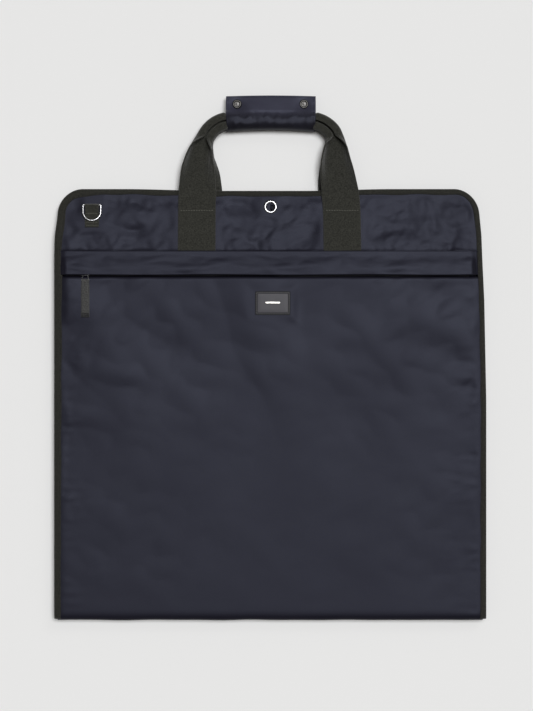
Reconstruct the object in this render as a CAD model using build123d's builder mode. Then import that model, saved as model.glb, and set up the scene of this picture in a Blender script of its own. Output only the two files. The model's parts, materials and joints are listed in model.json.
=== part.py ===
"""Folding garment bag, lying on its back half with the handles up the table (+Y).

The bag is two flat halves, one on the other, joined by a fold along their lower edge. Each half is
a shallow pocket of nylon with taped edges. The outer faces carry a webbing handle and a D-ring, the
upper half has a zip pocket, and a long zip runs down the faces that meet when the bag is folded.
Heights up the bag are given from the fold, and up() turns them into the part's own Y.
"""

import os
from math import atan2, cos, sin

from build123d import *

# ---- the whole bag ----
BAG_W = 580.0  # across the tapes
BAG_H = 576.0  # fold to top edge
CORNER_R = 40.0  # top corners
TAPE_W = 9.0  # edge binding seen on each face
CLOTH = 1.0  # nylon shell with its lining
SEAM = 494.0  # where the yoke is sewn to the rest
FOLD_RUN = 22.0  # the sloped strip beside the fold
FOLD_GAP = 0.6  # from the fold's axis to the cloth
WRAP_TOP = 703.2  # free edge of the handle wrap, the highest point

# ---- levels through the bag, up from the table ----
BACK_FACE = 0.0  # outer face of the back half, which lies on the table
BACK_BEND = 430.0  # height up the bag where that face starts to lift
BACK_SEAM = 2.0  # its level at the seam
BACK_INNER = 11.6  # face of the back half that meets the front half
AXIS_Z = 11.9  # fold axis
FRONT_INNER = 12.2  # face of the front half that meets the back half
LINING = 18.8  # underside of the pocket's lining
FRONT_FACE = 25.3  # outer face of the front half
BACK_EDGE = 8.5  # outer face of the back yoke at the top edge
FRONT_EDGE = 16.6  # outer face of the front yoke at the top edge
FOLD_LIP = 2.1  # half of the cloth's thickness at the fold
LIP_INSIDE = 1.4  # the sloped strip's depth at the fold, and at its other end
FOLD_INSIDE = 1.3
CLEAR = 0.3  # air between soft pieces that move past each other
TALL = 40.0  # taller than the whole bag, for trimming

# ---- handles ----
WEB_W = 50.0
WEB_T = 1.8
FRONT_WEB_X = 98.0  # middle of each leg of the front handle
BACK_WEB_X = 91.0
ANCHOR_LOW = 496.0  # lower end of the sewn part
ANCHOR_TOP = 545.6  # upper end of the sewn part
HANDLE_HINGE = 551.6  # where the loose webbing bends
HINGE_LIFT = 1.5  # hinge above the yoke
LEG_KNEE = 617.0  # where the webbing starts to gather
KNEE_T = 4.0
SHOULDER = 643.0  # where the gathered webbing turns towards the grip
SHOULDER_R = 28.0
TURN_X = 62.0  # half of the grip's straight stretch
GRIP_Y = SHOULDER + SHOULDER_R
GRIP_W = 22.0
GRIP_TOP = GRIP_Y + GRIP_W / 2
GRIP_T = 11.6
HANDLE_MID = 13.7  # level between the two handles
GRIP_GAP = 0.6  # each grip stands this far from that level

# ---- handle wrap and its press studs ----
WRAP_W = 120.0
LEAF_T = 1.2
WRAP_LOW = 658.0  # palm side
FLAP_GAP = 1.6  # each flap stands this far from HANDLE_MID
STUD_X = 45.0
STUD_Y = 693.6
CAP_R = 6.4
STUD_R = 1.9

# ---- D-rings ----
RING_X = 240.0
RING_BAR = 557.0
RING_WIRE_R = 1.5
RING_HALF_W = 11.9  # to the wire's middle
RING_LEG = 9.0
RING_LIFT = 3.6  # wire's middle above the yoke
TAB_W = 19.5
TAB_LAYER = 0.9
TAB_LEN = 30.0

# ---- hanger eyelet ----
EYELET_Y = 555.0
EYELET_R = 5.5
EYELET_BARREL = 0.9
FLANGE_R = 9.0
FLANGE_T = 0.8
WASHER_T = 0.6

# ---- pocket zip, across the bag ----
ZIP_Y = 467.0
TAPE_T = 0.6
TAPE_REACH = 15.0  # from the zip's middle to a tape's outer edge
TAPE_SLIT = 1.0  # from the zip's middle to a tape's inner edge
HEM_IN = 6.0  # from the zip's middle to the sewn edge of the cloth
HEM_W = 8.0
POCKET_TAPE_Z = 21.3
COIL_T = 1.8
COIL_HALF_W = 2.6
SLIDER_L = 14.0
SLIDER_W = 9.0
PLATE_T = 0.7
POST_HALF_W = 0.8
POST_L = 3.0
SLIDER_X = -248.5  # slider with the pocket shut
CROWN_TOP = 29.0  # the hooked arm over the link
CROWN_POST = 4.2  # its foot, behind the link
CROWN_HALF_W = 0.8
PLACKET_LOW = 464.0
PLACKET_FLAT = 475.0
PLACKET_Z = 29.3

# ---- pocket zip pull ----
LINK_WIRE_R = 0.55
LINK_Z = 27.7  # wire's middle, in the slider's crown and at the tab
BAR_DROP = 12.0  # crown to the bar that carries the tab
BAR_HALF_L = 5.6
PULL_NECK_W = 7.6
PULL_NECK_WALL = 0.6
PULL_W = 11.6
PULL_T = 1.8
PULL_END = 406.0

# ---- zip between the halves, along the bag ----
SLOT = 7.0  # half of the slot between the inner panels
INNER_LOW = 3.0
INNER_TOP = 547.0  # top end of the slot
FRONT_TAPE_DEPTH = 4.4  # tape's face below the inner panel, with room for the slider
BACK_TAPE_DEPTH = 2.6
TAPE_LOW = 16.0  # lower end of each half's stretch
MAIN_SLIDER_Y = 535.0

# ---- patch ----
PATCH_X = 3.0
PATCH_Y = 425.4
PATCH_SIZE = (47.5, 32.0)
PATCH_T = 0.9

Y_MID = (FOLD_GAP + WRAP_TOP) / 2


def up(height):
    """The part's own Y of a height measured from the fold."""
    return height - Y_MID


def save(piece, label):
    """Labels a finished piece and writes it to its own STEP file."""
    piece.part.label = label
    os.makedirs("parts", exist_ok=True)
    export_step(piece.part, f"parts/{label}.step")


def bag_outline(inset):
    """Outline of a half, inset from its edge, open-cornered at the fold and rounded at the top."""
    low, high = up(FOLD_GAP), up(BAG_H - inset)
    with BuildSketch() as outline:
        with Locations((0, (low + high) / 2)):
            Rectangle(BAG_W - 2 * inset, high - low)
        fillet(outline.vertices().group_by(Axis.Y)[-1], CORNER_R - inset)
    return outline.sketch


def across(profile, inset=TAPE_W):
    """A panel: a side profile of (height up the bag, level) points, run across the bag and
    trimmed to the outline inside the binding."""
    with BuildPart() as piece:
        with BuildSketch(Plane.YZ):
            with BuildLine():
                Polyline(*[(up(h), z) for h, z in profile], close=True)
            make_face()
        extrude(amount=BAG_W / 2, both=True)
        extrude(bag_outline(inset), amount=TALL, mode=Mode.INTERSECT)
    return piece


def slab(x_low, x_high, y_low, y_high, z_low, z_high):
    """A box between two corners, joined to the part being built."""
    with Locations(((x_low + x_high) / 2, (y_low + y_high) / 2, (z_low + z_high) / 2)):
        Box(x_high - x_low, y_high - y_low, z_high - z_low)


def yoke_level(height, face, edge):
    """Level of a yoke's outer face at a height up the bag."""
    return face + (edge - face) * (height - SEAM) / (BAG_H - SEAM)


def yoke_plane(x, height, face, edge, side):
    """Plane on a yoke's outer face, X across the bag and Z out of the half."""
    slope = atan2(edge - face, BAG_H - SEAM)
    out = (0, -side * sin(slope), side * cos(slope))
    return Plane(
        origin=(x, up(height), yoke_level(height, face, edge)), x_dir=(1, 0, 0), z_dir=out
    )


# side is +1 on the front half, which faces up, and -1 on the back half, which faces the table.
FRONT = dict(face=FRONT_FACE, edge=FRONT_EDGE, side=1)
BACK = dict(face=BACK_SEAM, edge=BACK_EDGE, side=-1)

# =====================================================================================
# Shells of the two halves
# =====================================================================================


def yoke(face, edge, side, hole_r=0.0):
    """The sloping panel between the seam and the top binding, with the hanger's hole if it has one."""
    with BuildPart() as piece:
        with BuildSketch(Plane.YZ):
            with BuildLine():
                outer = [(up(SEAM), face), (up(BAG_H), edge)]
                inner = [(up(BAG_H), edge - side * CLOTH), (up(SEAM), face - side * CLOTH)]
                Polyline(*outer, *inner, close=True)
            make_face()
        extrude(amount=BAG_W / 2, both=True)
        extrude(bag_outline(TAPE_W), amount=TALL, mode=Mode.INTERSECT)
        if hole_r:
            with BuildSketch(yoke_plane(0, EYELET_Y, face, edge, side)):
                Circle(hole_r)
            extrude(amount=2 * CLOTH, both=True, mode=Mode.SUBTRACT)
    return piece


def fold_panel(face, side):
    """The strip that slopes from an outer face down to the fold."""
    lip = AXIS_Z + side * FOLD_LIP
    return across(
        [
            (FOLD_GAP, lip),
            (FOLD_RUN, face),
            (FOLD_RUN, face - side * FOLD_INSIDE),
            (FOLD_GAP, lip - side * LIP_INSIDE),
        ]
    )


def binding(outer, inner, side):
    """The taped edge of a half: up one side, round the top and down the other."""
    lip = AXIS_Z + side * FOLD_LIP
    profile = [(FOLD_GAP, inner), (FOLD_GAP, lip), *outer, (BAG_H, inner)]
    with BuildPart() as piece:
        with BuildSketch(Plane.YZ):
            with BuildLine():
                Polyline(*[(up(h), z) for h, z in profile], close=True)
            make_face()
        extrude(amount=BAG_W / 2, both=True)
        extrude(bag_outline(0), amount=TALL, mode=Mode.INTERSECT)
        extrude(bag_outline(TAPE_W), amount=TALL, mode=Mode.SUBTRACT)
    return piece


def inner_panel(inner, side, depth, hand):
    """One side of the face that the long zip divides, with the hem that its tape is sewn to."""
    low, high = up(INNER_LOW), up(BAG_H)
    with BuildPart() as piece:
        with BuildSketch(Plane.XY.offset(inner)):
            with Locations((hand * (SLOT + BAG_W / 2) / 2, (low + high) / 2)):
                Rectangle(BAG_W / 2 - SLOT, high - low)
            with Locations((hand * SLOT / 2, (up(INNER_TOP) + high) / 2)):
                Rectangle(SLOT, high - up(INNER_TOP))
        extrude(amount=side * CLOTH)
        hem_x = sorted((hand * SLOT, hand * (SLOT + HEM_W)))
        hem_z = sorted((inner + side * CLOTH, inner + side * depth))
        slab(*hem_x, up(TAPE_LOW), up(INNER_TOP), *hem_z)
        extrude(bag_outline(TAPE_W), amount=TALL, mode=Mode.INTERSECT)
    return piece


save(yoke(**BACK), "back_yoke")
back_outer = [(FOLD_RUN, BACK_FACE), (BACK_BEND, BACK_FACE), (SEAM, BACK_SEAM)]
back_lining = [(h, z + CLOTH) for h, z in reversed(back_outer)]
save(across(back_outer + back_lining), "back_main_panel")
save(fold_panel(BACK_FACE, -1), "back_fold_panel")
save(binding([*back_outer, (BAG_H, BACK_EDGE)], BACK_INNER, -1), "back_binding")
save(inner_panel(BACK_INNER, -1, BACK_TAPE_DEPTH, -1), "back_inner_panel_left")
save(inner_panel(BACK_INNER, -1, BACK_TAPE_DEPTH, 1), "back_inner_panel_right")

save(fold_panel(FRONT_FACE, 1), "front_fold_panel")
front_outer = [(FOLD_RUN, FRONT_FACE), (SEAM, FRONT_FACE), (BAG_H, FRONT_EDGE)]
save(binding(front_outer, FRONT_INNER, 1), "front_binding")
save(inner_panel(FRONT_INNER, 1, FRONT_TAPE_DEPTH, -1), "front_inner_panel_left")
save(inner_panel(FRONT_INNER, 1, FRONT_TAPE_DEPTH, 1), "front_inner_panel_right")

save(yoke(**FRONT, hole_r=EYELET_R + EYELET_BARREL), "front_yoke")

# =====================================================================================
# Front pocket: panel, lining, facing and the flap over its zip
# =====================================================================================

hem_level = POCKET_TAPE_Z + TAPE_T
pocket_edge = ZIP_Y - HEM_IN
facing_edge = ZIP_Y + HEM_IN
panel_under = FRONT_FACE - CLOTH

pocket_profile = [(FOLD_RUN, FRONT_FACE), (pocket_edge, FRONT_FACE), (pocket_edge, hem_level)]
pocket_profile += [(pocket_edge - HEM_W, hem_level), (pocket_edge - HEM_W, panel_under)]
pocket_profile += [(FOLD_RUN, panel_under)]
save(across(pocket_profile), "pocket_front_panel")

facing_profile = [(facing_edge, FRONT_FACE), (SEAM, FRONT_FACE), (SEAM, panel_under)]
facing_profile += [(facing_edge + HEM_W, panel_under), (facing_edge + HEM_W, hem_level)]
facing_profile += [(facing_edge, hem_level)]
save(across(facing_profile), "zip_facing")

# The lining's lower edge is sewn into the fold, so it ends on the sloped panel's inner side.
fold_rise = (FRONT_FACE - FOLD_INSIDE - AXIS_Z - FOLD_LIP + LIP_INSIDE) / (FOLD_RUN - FOLD_GAP)


def lining_end(level):
    """Height up the bag where the front fold panel's inner side reaches a level."""
    return FOLD_GAP + (level - AXIS_Z - FOLD_LIP + LIP_INSIDE) / fold_rise


lining_profile = [(lining_end(LINING), LINING), (SEAM, LINING)]
lining_profile += [(SEAM, LINING + CLOTH), (lining_end(LINING + CLOTH), LINING + CLOTH)]
save(across(lining_profile), "pocket_lining")

placket_foot = FRONT_FACE + 0.05
placket_profile = [(PLACKET_LOW, PLACKET_Z), (PLACKET_FLAT, PLACKET_Z), (SEAM, placket_foot)]
placket_profile += [(SEAM, placket_foot + CLOTH), (PLACKET_FLAT, PLACKET_Z + CLOTH)]
placket_profile += [(PLACKET_LOW, PLACKET_Z + CLOTH)]
save(across(placket_profile), "pocket_placket")

with BuildPart() as leather_patch:
    with BuildSketch(Plane.XY.offset(FRONT_FACE)):
        with Locations((PATCH_X, up(PATCH_Y))):
            RectangleRounded(*PATCH_SIZE, 1.5)
    extrude(amount=PATCH_T)
save(leather_patch, "leather_patch")

# =====================================================================================
# Hanger eyelet: a flanged barrel through the yoke, and the washer it is clenched over
# =====================================================================================

eyelet_plane = yoke_plane(0, EYELET_Y, **FRONT)
with BuildPart() as eyelet_flange:
    with BuildSketch(eyelet_plane):
        Circle(FLANGE_R)
    extrude(amount=FLANGE_T)
    fillet(eyelet_flange.edges().filter_by(GeomType.CIRCLE).sort_by(Axis.Z)[-1], 0.5)
    with BuildSketch(eyelet_plane):
        Circle(EYELET_R + EYELET_BARREL)
    extrude(amount=-(CLOTH + WASHER_T))
    with BuildSketch(eyelet_plane):
        Circle(EYELET_R)
    extrude(amount=2 * FLANGE_T + CLOTH + WASHER_T, both=True, mode=Mode.SUBTRACT)
save(eyelet_flange, "eyelet_flange")

with BuildPart() as eyelet_washer:
    with BuildSketch(eyelet_plane.offset(-CLOTH)):
        Circle(FLANGE_R - 1)
        Circle(EYELET_R + EYELET_BARREL, mode=Mode.SUBTRACT)
    extrude(amount=-WASHER_T)
save(eyelet_washer, "eyelet_washer")

# =====================================================================================
# D-rings: a wire D whose bar turns in a webbing loop sewn to the yoke
# =====================================================================================


def ring_x(side):
    """The rings are at opposite corners: the front one at the left, the back one at the right."""
    return -side * RING_X


def ring_tab(half):
    """The webbing loop round the ring's bar, and its sewn tail."""
    plane = yoke_plane(ring_x(half["side"]), RING_BAR, **half)
    tail = -half["side"]  # the tail runs towards the fold, which is the plane's -Y or +Y
    bore = RING_WIRE_R + 0.1
    tab_side = plane.from_local_coords((-TAB_W / 2, 0, 0))
    across_tab = Plane(origin=tab_side, x_dir=plane.y_dir, z_dir=plane.x_dir)
    with BuildPart() as piece:
        with BuildSketch(across_tab):
            with Locations((tail * TAB_LEN / 2, TAB_LAYER)):
                Rectangle(TAB_LEN, 2 * TAB_LAYER)
            with Locations((0, RING_LIFT)):
                Circle(bore + 1.1)
            with Locations((0, TAB_LAYER + 0.2)):
                Rectangle(2 * bore, 2 * TAB_LAYER + 0.4)
            with Locations((0, RING_LIFT)):
                Circle(bore, mode=Mode.SUBTRACT)
        extrude(amount=TAB_W)
    return piece


def d_ring(half):
    """The wire, with its bar on the hinge and its bow lying back over the tab."""
    plane = yoke_plane(ring_x(half["side"]), RING_BAR, **half).offset(RING_LIFT)
    tail = -half["side"]
    with BuildPart() as piece:
        with BuildLine(plane):
            bar = Line((-RING_HALF_W, 0), (RING_HALF_W, 0))
            shoulder = tail * RING_LEG
            Line((RING_HALF_W, 0), (RING_HALF_W, shoulder))
            bow_end = tail * (RING_LEG + RING_HALF_W)
            ThreePointArc((RING_HALF_W, shoulder), (0, bow_end), (-RING_HALF_W, shoulder))
            Line((-RING_HALF_W, shoulder), (-RING_HALF_W, 0))
        with BuildSketch(Plane(origin=bar @ 0.5, z_dir=bar % 0.5)):
            Circle(RING_WIRE_R)
        sweep(transition=Transition.ROUND)
    return piece


for name, half in (("front", FRONT), ("back", BACK)):
    save(ring_tab(half), f"{name}_d_ring_tab")
    save(d_ring(half), f"{name}_d_ring")

# =====================================================================================
# Handles: sewn anchors, and the webbing that is gathered into a grip
# =====================================================================================


def anchor(half, x):
    """The part of a handle's webbing that is sewn down on the yoke."""
    middle = (ANCHOR_LOW + ANCHOR_TOP) / 2
    with BuildPart() as piece:
        with BuildSketch(yoke_plane(x, middle, **half)):
            Rectangle(WEB_W, ANCHOR_TOP - ANCHOR_LOW)
        extrude(amount=WEB_T)
    return piece


def handle(half, leg_x):
    """Loose webbing from one anchor, round the grip and back to the other."""
    side = half["side"]
    hinge_z = yoke_level(HANDLE_HINGE, half["face"], half["edge"]) + side * HINGE_LIFT
    grip_z = HANDLE_MID + side * (GRIP_GAP + GRIP_T / 2)
    stations = [
        (HANDLE_HINGE + 0.1, -leg_x, hinge_z, WEB_W, WEB_T, 0.85),
        (LEG_KNEE, -leg_x + 4, (hinge_z + grip_z) / 2, WEB_W - 6, KNEE_T, 1.9),
        (SHOULDER, -TURN_X - SHOULDER_R, grip_z, GRIP_W, GRIP_T, 5.0),
    ]
    with BuildPart() as piece:
        for height, x, z, width, thick, radius in stations:
            with BuildSketch(Plane.XZ.offset(-up(height))):
                with Locations((x, z)):
                    RectangleRounded(width, thick, radius)
        loft(ruled=True)
        with BuildSketch(Plane.XZ.offset(-up(SHOULDER))):
            with Locations((-TURN_X - SHOULDER_R, grip_z)):
                RectangleRounded(GRIP_W, GRIP_T, 5.0)
        revolve(axis=Axis((-TURN_X, up(SHOULDER), 0), (0, 0, -1)), revolution_arc=90)
        with BuildSketch(Plane.YZ.offset(-TURN_X)):
            with Locations((up(GRIP_Y), grip_z)):
                RectangleRounded(GRIP_W, GRIP_T, 5.0)
        extrude(amount=TURN_X)
        mirror(about=Plane.YZ)
    return piece


for name, half, leg_x in (("front", FRONT, FRONT_WEB_X), ("back", BACK, BACK_WEB_X)):
    save(anchor(half, -leg_x), f"{name}_handle_anchor_left")
    save(anchor(half, leg_x), f"{name}_handle_anchor_right")
    save(handle(half, leg_x), f"{name}_handle_webbing")

# =====================================================================================
# Handle wrap: two leaves that press-stud together above the grip
# =====================================================================================


def wrap_leaf(side):
    """One leaf: up the palm side of its handle, over the grip and out to the flap."""

    def level(z):
        return HANDLE_MID + side * z

    top = GRIP_GAP + GRIP_T + CLEAR + LEAF_T
    outer = [(WRAP_LOW, GRIP_GAP), (WRAP_LOW, top - 5), (WRAP_LOW + 1.6, top - 1.6), (WRAP_LOW + 5, top)]
    outer += [(GRIP_TOP + 0.6, top), (GRIP_TOP + 4.9, FLAP_GAP + LEAF_T), (WRAP_TOP, FLAP_GAP + LEAF_T)]
    inner = [(WRAP_TOP, FLAP_GAP), (GRIP_TOP + 3.5, FLAP_GAP), (GRIP_TOP - 0.8, top - LEAF_T)]
    inner += [(WRAP_LOW + 5.5, top - LEAF_T)]
    inner += [(WRAP_LOW + 2.5, top - 2.5), (WRAP_LOW + LEAF_T, top - 5.5), (WRAP_LOW + LEAF_T, GRIP_GAP)]
    with BuildPart() as piece:
        with BuildSketch(Plane.YZ):
            with BuildLine():
                Polyline(*[(up(h), level(z)) for h, z in outer + inner], close=True)
            make_face()
        extrude(amount=WRAP_W / 2, both=True)
    return piece


def stud_places():
    """The two press studs, at the ends of the flap."""
    return Locations((-STUD_X, up(STUD_Y)), (STUD_X, up(STUD_Y)))


front_flap_top = HANDLE_MID + FLAP_GAP + LEAF_T
front_flap_under = HANDLE_MID + FLAP_GAP
back_flap_top = HANDLE_MID - FLAP_GAP
back_flap_under = HANDLE_MID - FLAP_GAP - LEAF_T

save(wrap_leaf(1), "wrap_front_leaf")
save(wrap_leaf(-1), "wrap_back_leaf")

with BuildPart() as snap_caps:
    with BuildSketch(Plane.XY.offset(front_flap_top)):
        with stud_places():
            Circle(CAP_R)
    extrude(amount=1.6)
    fillet(snap_caps.faces().group_by(Axis.Z)[-1].edges(), 1.0)
    with BuildSketch(Plane.XY.offset(front_flap_top + 1.6)):
        with stud_places():
            Circle(CAP_R - 2.2)
    extrude(amount=-0.6, mode=Mode.SUBTRACT)
save(snap_caps, "snap_caps")

with BuildPart() as snap_sockets:
    with BuildSketch(Plane.XY.offset(front_flap_under)):
        with stud_places():
            Circle(4.8)
    extrude(amount=-2.2)
    with BuildSketch(Plane.XY.offset(front_flap_under - 2.2)):
        with stud_places():
            Circle(STUD_R + 0.3)
    extrude(amount=1.9, mode=Mode.SUBTRACT)
save(snap_sockets, "snap_sockets")

with BuildPart() as snap_studs:
    with BuildSketch(Plane.XY.offset(back_flap_top)):
        with stud_places():
            Circle(4.8)
    extrude(amount=0.75)
    with BuildSketch(Plane.XY.offset(back_flap_top + 0.75)):
        with stud_places():
            Circle(STUD_R)
    extrude(amount=1.8)
    fillet(snap_studs.faces().group_by(Axis.Z)[-1].edges(), 0.6)
save(snap_studs, "snap_studs")

with BuildPart() as snap_posts:
    with BuildSketch(Plane.XY.offset(back_flap_under)):
        with stud_places():
            Circle(5.2)
            Circle(2.0, mode=Mode.SUBTRACT)
    extrude(amount=-1.2)
    fillet(snap_posts.faces().group_by(Axis.Z)[0].edges().sort_by(SortBy.RADIUS)[-2:], 0.6)
save(snap_posts, "snap_posts")

# =====================================================================================
# Pocket zip: tapes, closed coil, end stops, slider, link and pull
# =====================================================================================

half_tape = BAG_W / 2 - 20
TAPE_ROWS = ((-TAPE_REACH, -TAPE_SLIT), (TAPE_SLIT, TAPE_REACH))
COIL_ROWS = ((-COIL_HALF_W, -TAPE_SLIT), (TAPE_SLIT, COIL_HALF_W))

with BuildPart() as pocket_zip_tapes:
    for low, high in TAPE_ROWS:
        slab(-half_tape, half_tape, up(ZIP_Y + low), up(ZIP_Y + high), POCKET_TAPE_Z, hem_level)
save(pocket_zip_tapes, "pocket_zip_tapes")

coil_start = SLIDER_X - SLIDER_L / 2 + POST_L + 0.5
coil_end = 257.0
with BuildPart() as pocket_zip_coil:
    for low, high in COIL_ROWS:
        slab(coil_start, coil_end, up(ZIP_Y + low), up(ZIP_Y + high), hem_level, hem_level + COIL_T)
    fillet(pocket_zip_coil.edges().filter_by(Axis.X).group_by(Axis.Z)[-1], 0.5)
save(pocket_zip_coil, "pocket_zip_coil")

with BuildPart() as pocket_zip_stops:
    for low, high in ((-3.0, -1.0), (1.0, 3.0)):
        slab(-260.0, -257.0, up(ZIP_Y + low), up(ZIP_Y + high), hem_level, hem_level + COIL_T)
    slab(258.0, 261.0, up(ZIP_Y - 2.8), up(ZIP_Y + 2.8), hem_level, hem_level + COIL_T)
save(pocket_zip_stops, "pocket_zip_stops")

plate_low = POCKET_TAPE_Z - CLEAR - PLATE_T
plate_high = hem_level + COIL_T + CLEAR
with BuildPart() as pocket_zip_slider:
    for z in (plate_low, plate_high):
        with BuildSketch(Plane.XY.offset(z)):
            with Locations((SLIDER_X, up(ZIP_Y))):
                RectangleRounded(SLIDER_L, SLIDER_W, 2.5)
        extrude(amount=PLATE_T)
    post_x = SLIDER_X - SLIDER_L / 2
    slab(post_x, post_x + POST_L, up(ZIP_Y - POST_HALF_W), up(ZIP_Y + POST_HALF_W), plate_low, plate_high)
    crown_foot = plate_high + PLATE_T
    crown_x = (SLIDER_X - CROWN_HALF_W, SLIDER_X + CROWN_HALF_W)
    slab(*crown_x, up(ZIP_Y + CROWN_POST - 1.0), up(ZIP_Y + CROWN_POST), crown_foot, CROWN_TOP)
    slab(*crown_x, up(ZIP_Y - 2.0), up(ZIP_Y + CROWN_POST), CROWN_TOP - 0.6, CROWN_TOP)
save(pocket_zip_slider, "pocket_zip_slider")

bar_height = ZIP_Y - BAR_DROP
with BuildPart() as pocket_pull_link:
    with BuildLine(Plane.XY.offset(LINK_Z)) as link_wire:
        crown_end, bar_end = up(ZIP_Y), up(bar_height)
        corners = [(1.5, crown_end), (BAR_HALF_L, bar_end), (-BAR_HALF_L, bar_end), (-1.5, crown_end)]
        FilletPolyline(*[(SLIDER_X + x, y) for x, y in corners], radius=1.0, close=True)
    bar = link_wire.edges().sort_by(Axis.Y)[0]
    with BuildSketch(Plane(origin=bar @ 0.5, z_dir=bar % 0.5)):
        Circle(LINK_WIRE_R)
    sweep()
save(pocket_pull_link, "pocket_pull_link")

neck_outer = LINK_WIRE_R + 0.1 + PULL_NECK_WALL
tab_under = LINK_Z - neck_outer
tab_start = bar_height - 3.5
with BuildPart() as pocket_pull_tab:
    with BuildSketch(Plane.YZ.offset(SLIDER_X - PULL_NECK_W / 2)):
        with Locations((up(bar_height), LINK_Z)):
            Circle(neck_outer)
        with Locations((up((bar_height + tab_start - 1) / 2), tab_under + PULL_T / 2)):
            Rectangle(bar_height - tab_start + 1, PULL_T)
        with Locations((up(bar_height), LINK_Z)):
            Circle(LINK_WIRE_R + 0.1, mode=Mode.SUBTRACT)
    extrude(amount=PULL_NECK_W)
    with BuildSketch(Plane.XY.offset(tab_under)):
        with Locations((SLIDER_X, up((tab_start + PULL_END) / 2))):
            Rectangle(PULL_W, tab_start - PULL_END)
    extrude(amount=PULL_T)
save(pocket_pull_tab, "pocket_pull_tab")

# =====================================================================================
# Zip between the halves: it runs over the fold, so each half holds its own stretch
# =====================================================================================


def main_tapes(inner, side, depth):
    """Both tapes of one half's stretch, sewn to the inner panels' hems."""
    z = sorted((inner + side * depth, inner + side * (depth + TAPE_T)))
    with BuildPart() as piece:
        for low, high in TAPE_ROWS:
            slab(low, high, up(TAPE_LOW), up(INNER_TOP), *z)
    return piece


def main_coil(inner, side, depth):
    """The two rows of coil on those tapes, on the side that meets the other half."""
    z = sorted((inner + side * depth, inner + side * (depth - COIL_T)))
    top = MAIN_SLIDER_Y + SLIDER_L / 2 - POST_L - 0.5
    with BuildPart() as piece:
        for low, high in COIL_ROWS:
            slab(low, high, up(TAPE_LOW), up(top), *z)
    return piece


back_zip = ("back", BACK_INNER, -1, BACK_TAPE_DEPTH)
front_zip = ("front", FRONT_INNER, 1, FRONT_TAPE_DEPTH)
for name, *stretch in (back_zip, front_zip):
    save(main_tapes(*stretch), f"main_zip_{name}_tapes")
    save(main_coil(*stretch), f"main_zip_{name}_coil")

slider_low = FRONT_INNER + FRONT_TAPE_DEPTH - COIL_T - 0.2 - PLATE_T
slider_high = FRONT_INNER + FRONT_TAPE_DEPTH + TAPE_T + 0.2
with BuildPart() as main_zip_slider:
    for z in (slider_low, slider_high):
        with BuildSketch(Plane.XY.offset(z)):
            with Locations((0, up(MAIN_SLIDER_Y))):
                RectangleRounded(SLIDER_W, SLIDER_L, 2.5)
        extrude(amount=PLATE_T)
    post_y = MAIN_SLIDER_Y + SLIDER_L / 2
    slab(-POST_HALF_W, POST_HALF_W, up(post_y - POST_L), up(post_y), slider_low, slider_high)
    for low, high in ((-5.4, -4.2), (2.8, 4.0)):
        slab(-1.2, 1.2, up(MAIN_SLIDER_Y + low), up(MAIN_SLIDER_Y + high), slider_low - 1.4, slider_low)
    slab(-1.2, 1.2, up(MAIN_SLIDER_Y - 5.4), up(MAIN_SLIDER_Y + 4.0), slider_low - 1.4, slider_low - 1.0)
save(main_zip_slider, "main_zip_slider")

pull_top = MAIN_SLIDER_Y - 2.0
with BuildPart() as main_zip_pull:
    with BuildSketch(Plane.XY.offset(slider_low - 0.9)):
        with Locations((0, up(pull_top - 16.0))):
            RectangleRounded(8.0, 32.0, 2.0)
        with Locations((0, up(pull_top - 6.0))):
            Rectangle(4.4, 9.0, mode=Mode.SUBTRACT)
        with Locations((0, up(pull_top - 26.0))):
            Circle(1.8, mode=Mode.SUBTRACT)
    extrude(amount=0.7)
save(main_zip_pull, "main_zip_pull")

with BuildPart() as main_zip_stops:
    stop_z = (FRONT_INNER + FRONT_TAPE_DEPTH - COIL_T, FRONT_INNER + FRONT_TAPE_DEPTH)
    for low, high in ((-3.0, -1.0), (1.0, 3.0)):
        slab(low, high, up(MAIN_SLIDER_Y + 7.5), up(MAIN_SLIDER_Y + 10.5), *stop_z)
save(main_zip_stops, "main_zip_stops")
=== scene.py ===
"""Garment bag, folded and lying on its back half: its cloth, tapes, handles and finishes.

Lengths are in millimetres until a mesh is made. Heights up the bag are measured from the fold.
"""

import json
import math

import bmesh
import bpy
import numpy as np
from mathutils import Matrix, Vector


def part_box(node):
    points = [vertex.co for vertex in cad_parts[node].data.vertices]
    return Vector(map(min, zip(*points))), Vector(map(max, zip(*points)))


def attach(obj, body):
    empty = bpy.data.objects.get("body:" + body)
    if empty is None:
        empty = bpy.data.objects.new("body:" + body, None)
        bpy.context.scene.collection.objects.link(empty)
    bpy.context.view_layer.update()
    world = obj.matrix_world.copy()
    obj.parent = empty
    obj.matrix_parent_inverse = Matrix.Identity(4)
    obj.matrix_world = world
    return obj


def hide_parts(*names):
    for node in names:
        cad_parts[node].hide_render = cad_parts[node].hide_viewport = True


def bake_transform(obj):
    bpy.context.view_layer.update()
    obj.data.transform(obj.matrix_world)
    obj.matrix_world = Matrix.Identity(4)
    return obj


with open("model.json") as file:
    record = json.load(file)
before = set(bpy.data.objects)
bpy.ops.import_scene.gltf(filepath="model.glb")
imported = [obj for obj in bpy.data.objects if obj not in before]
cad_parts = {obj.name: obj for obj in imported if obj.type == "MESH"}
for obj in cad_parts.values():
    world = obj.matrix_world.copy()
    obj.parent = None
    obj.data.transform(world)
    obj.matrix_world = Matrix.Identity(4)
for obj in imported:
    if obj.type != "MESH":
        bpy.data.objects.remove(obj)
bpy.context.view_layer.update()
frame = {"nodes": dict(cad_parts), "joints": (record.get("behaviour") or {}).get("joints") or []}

MM = 0.001
PI = math.pi

# ---- Places, all read from the frame ----


def cad(node):
    """Lowest and highest corner of a CAD node, in millimetres."""
    low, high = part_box(node)
    return np.array(low) / MM, np.array(high) / MM


def joint_at(name):
    """A hinge's place, in millimetres."""
    found = next(j for j in frame["joints"] if j["name"] == name)
    return np.array(found["pos_m"]) / MM


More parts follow.
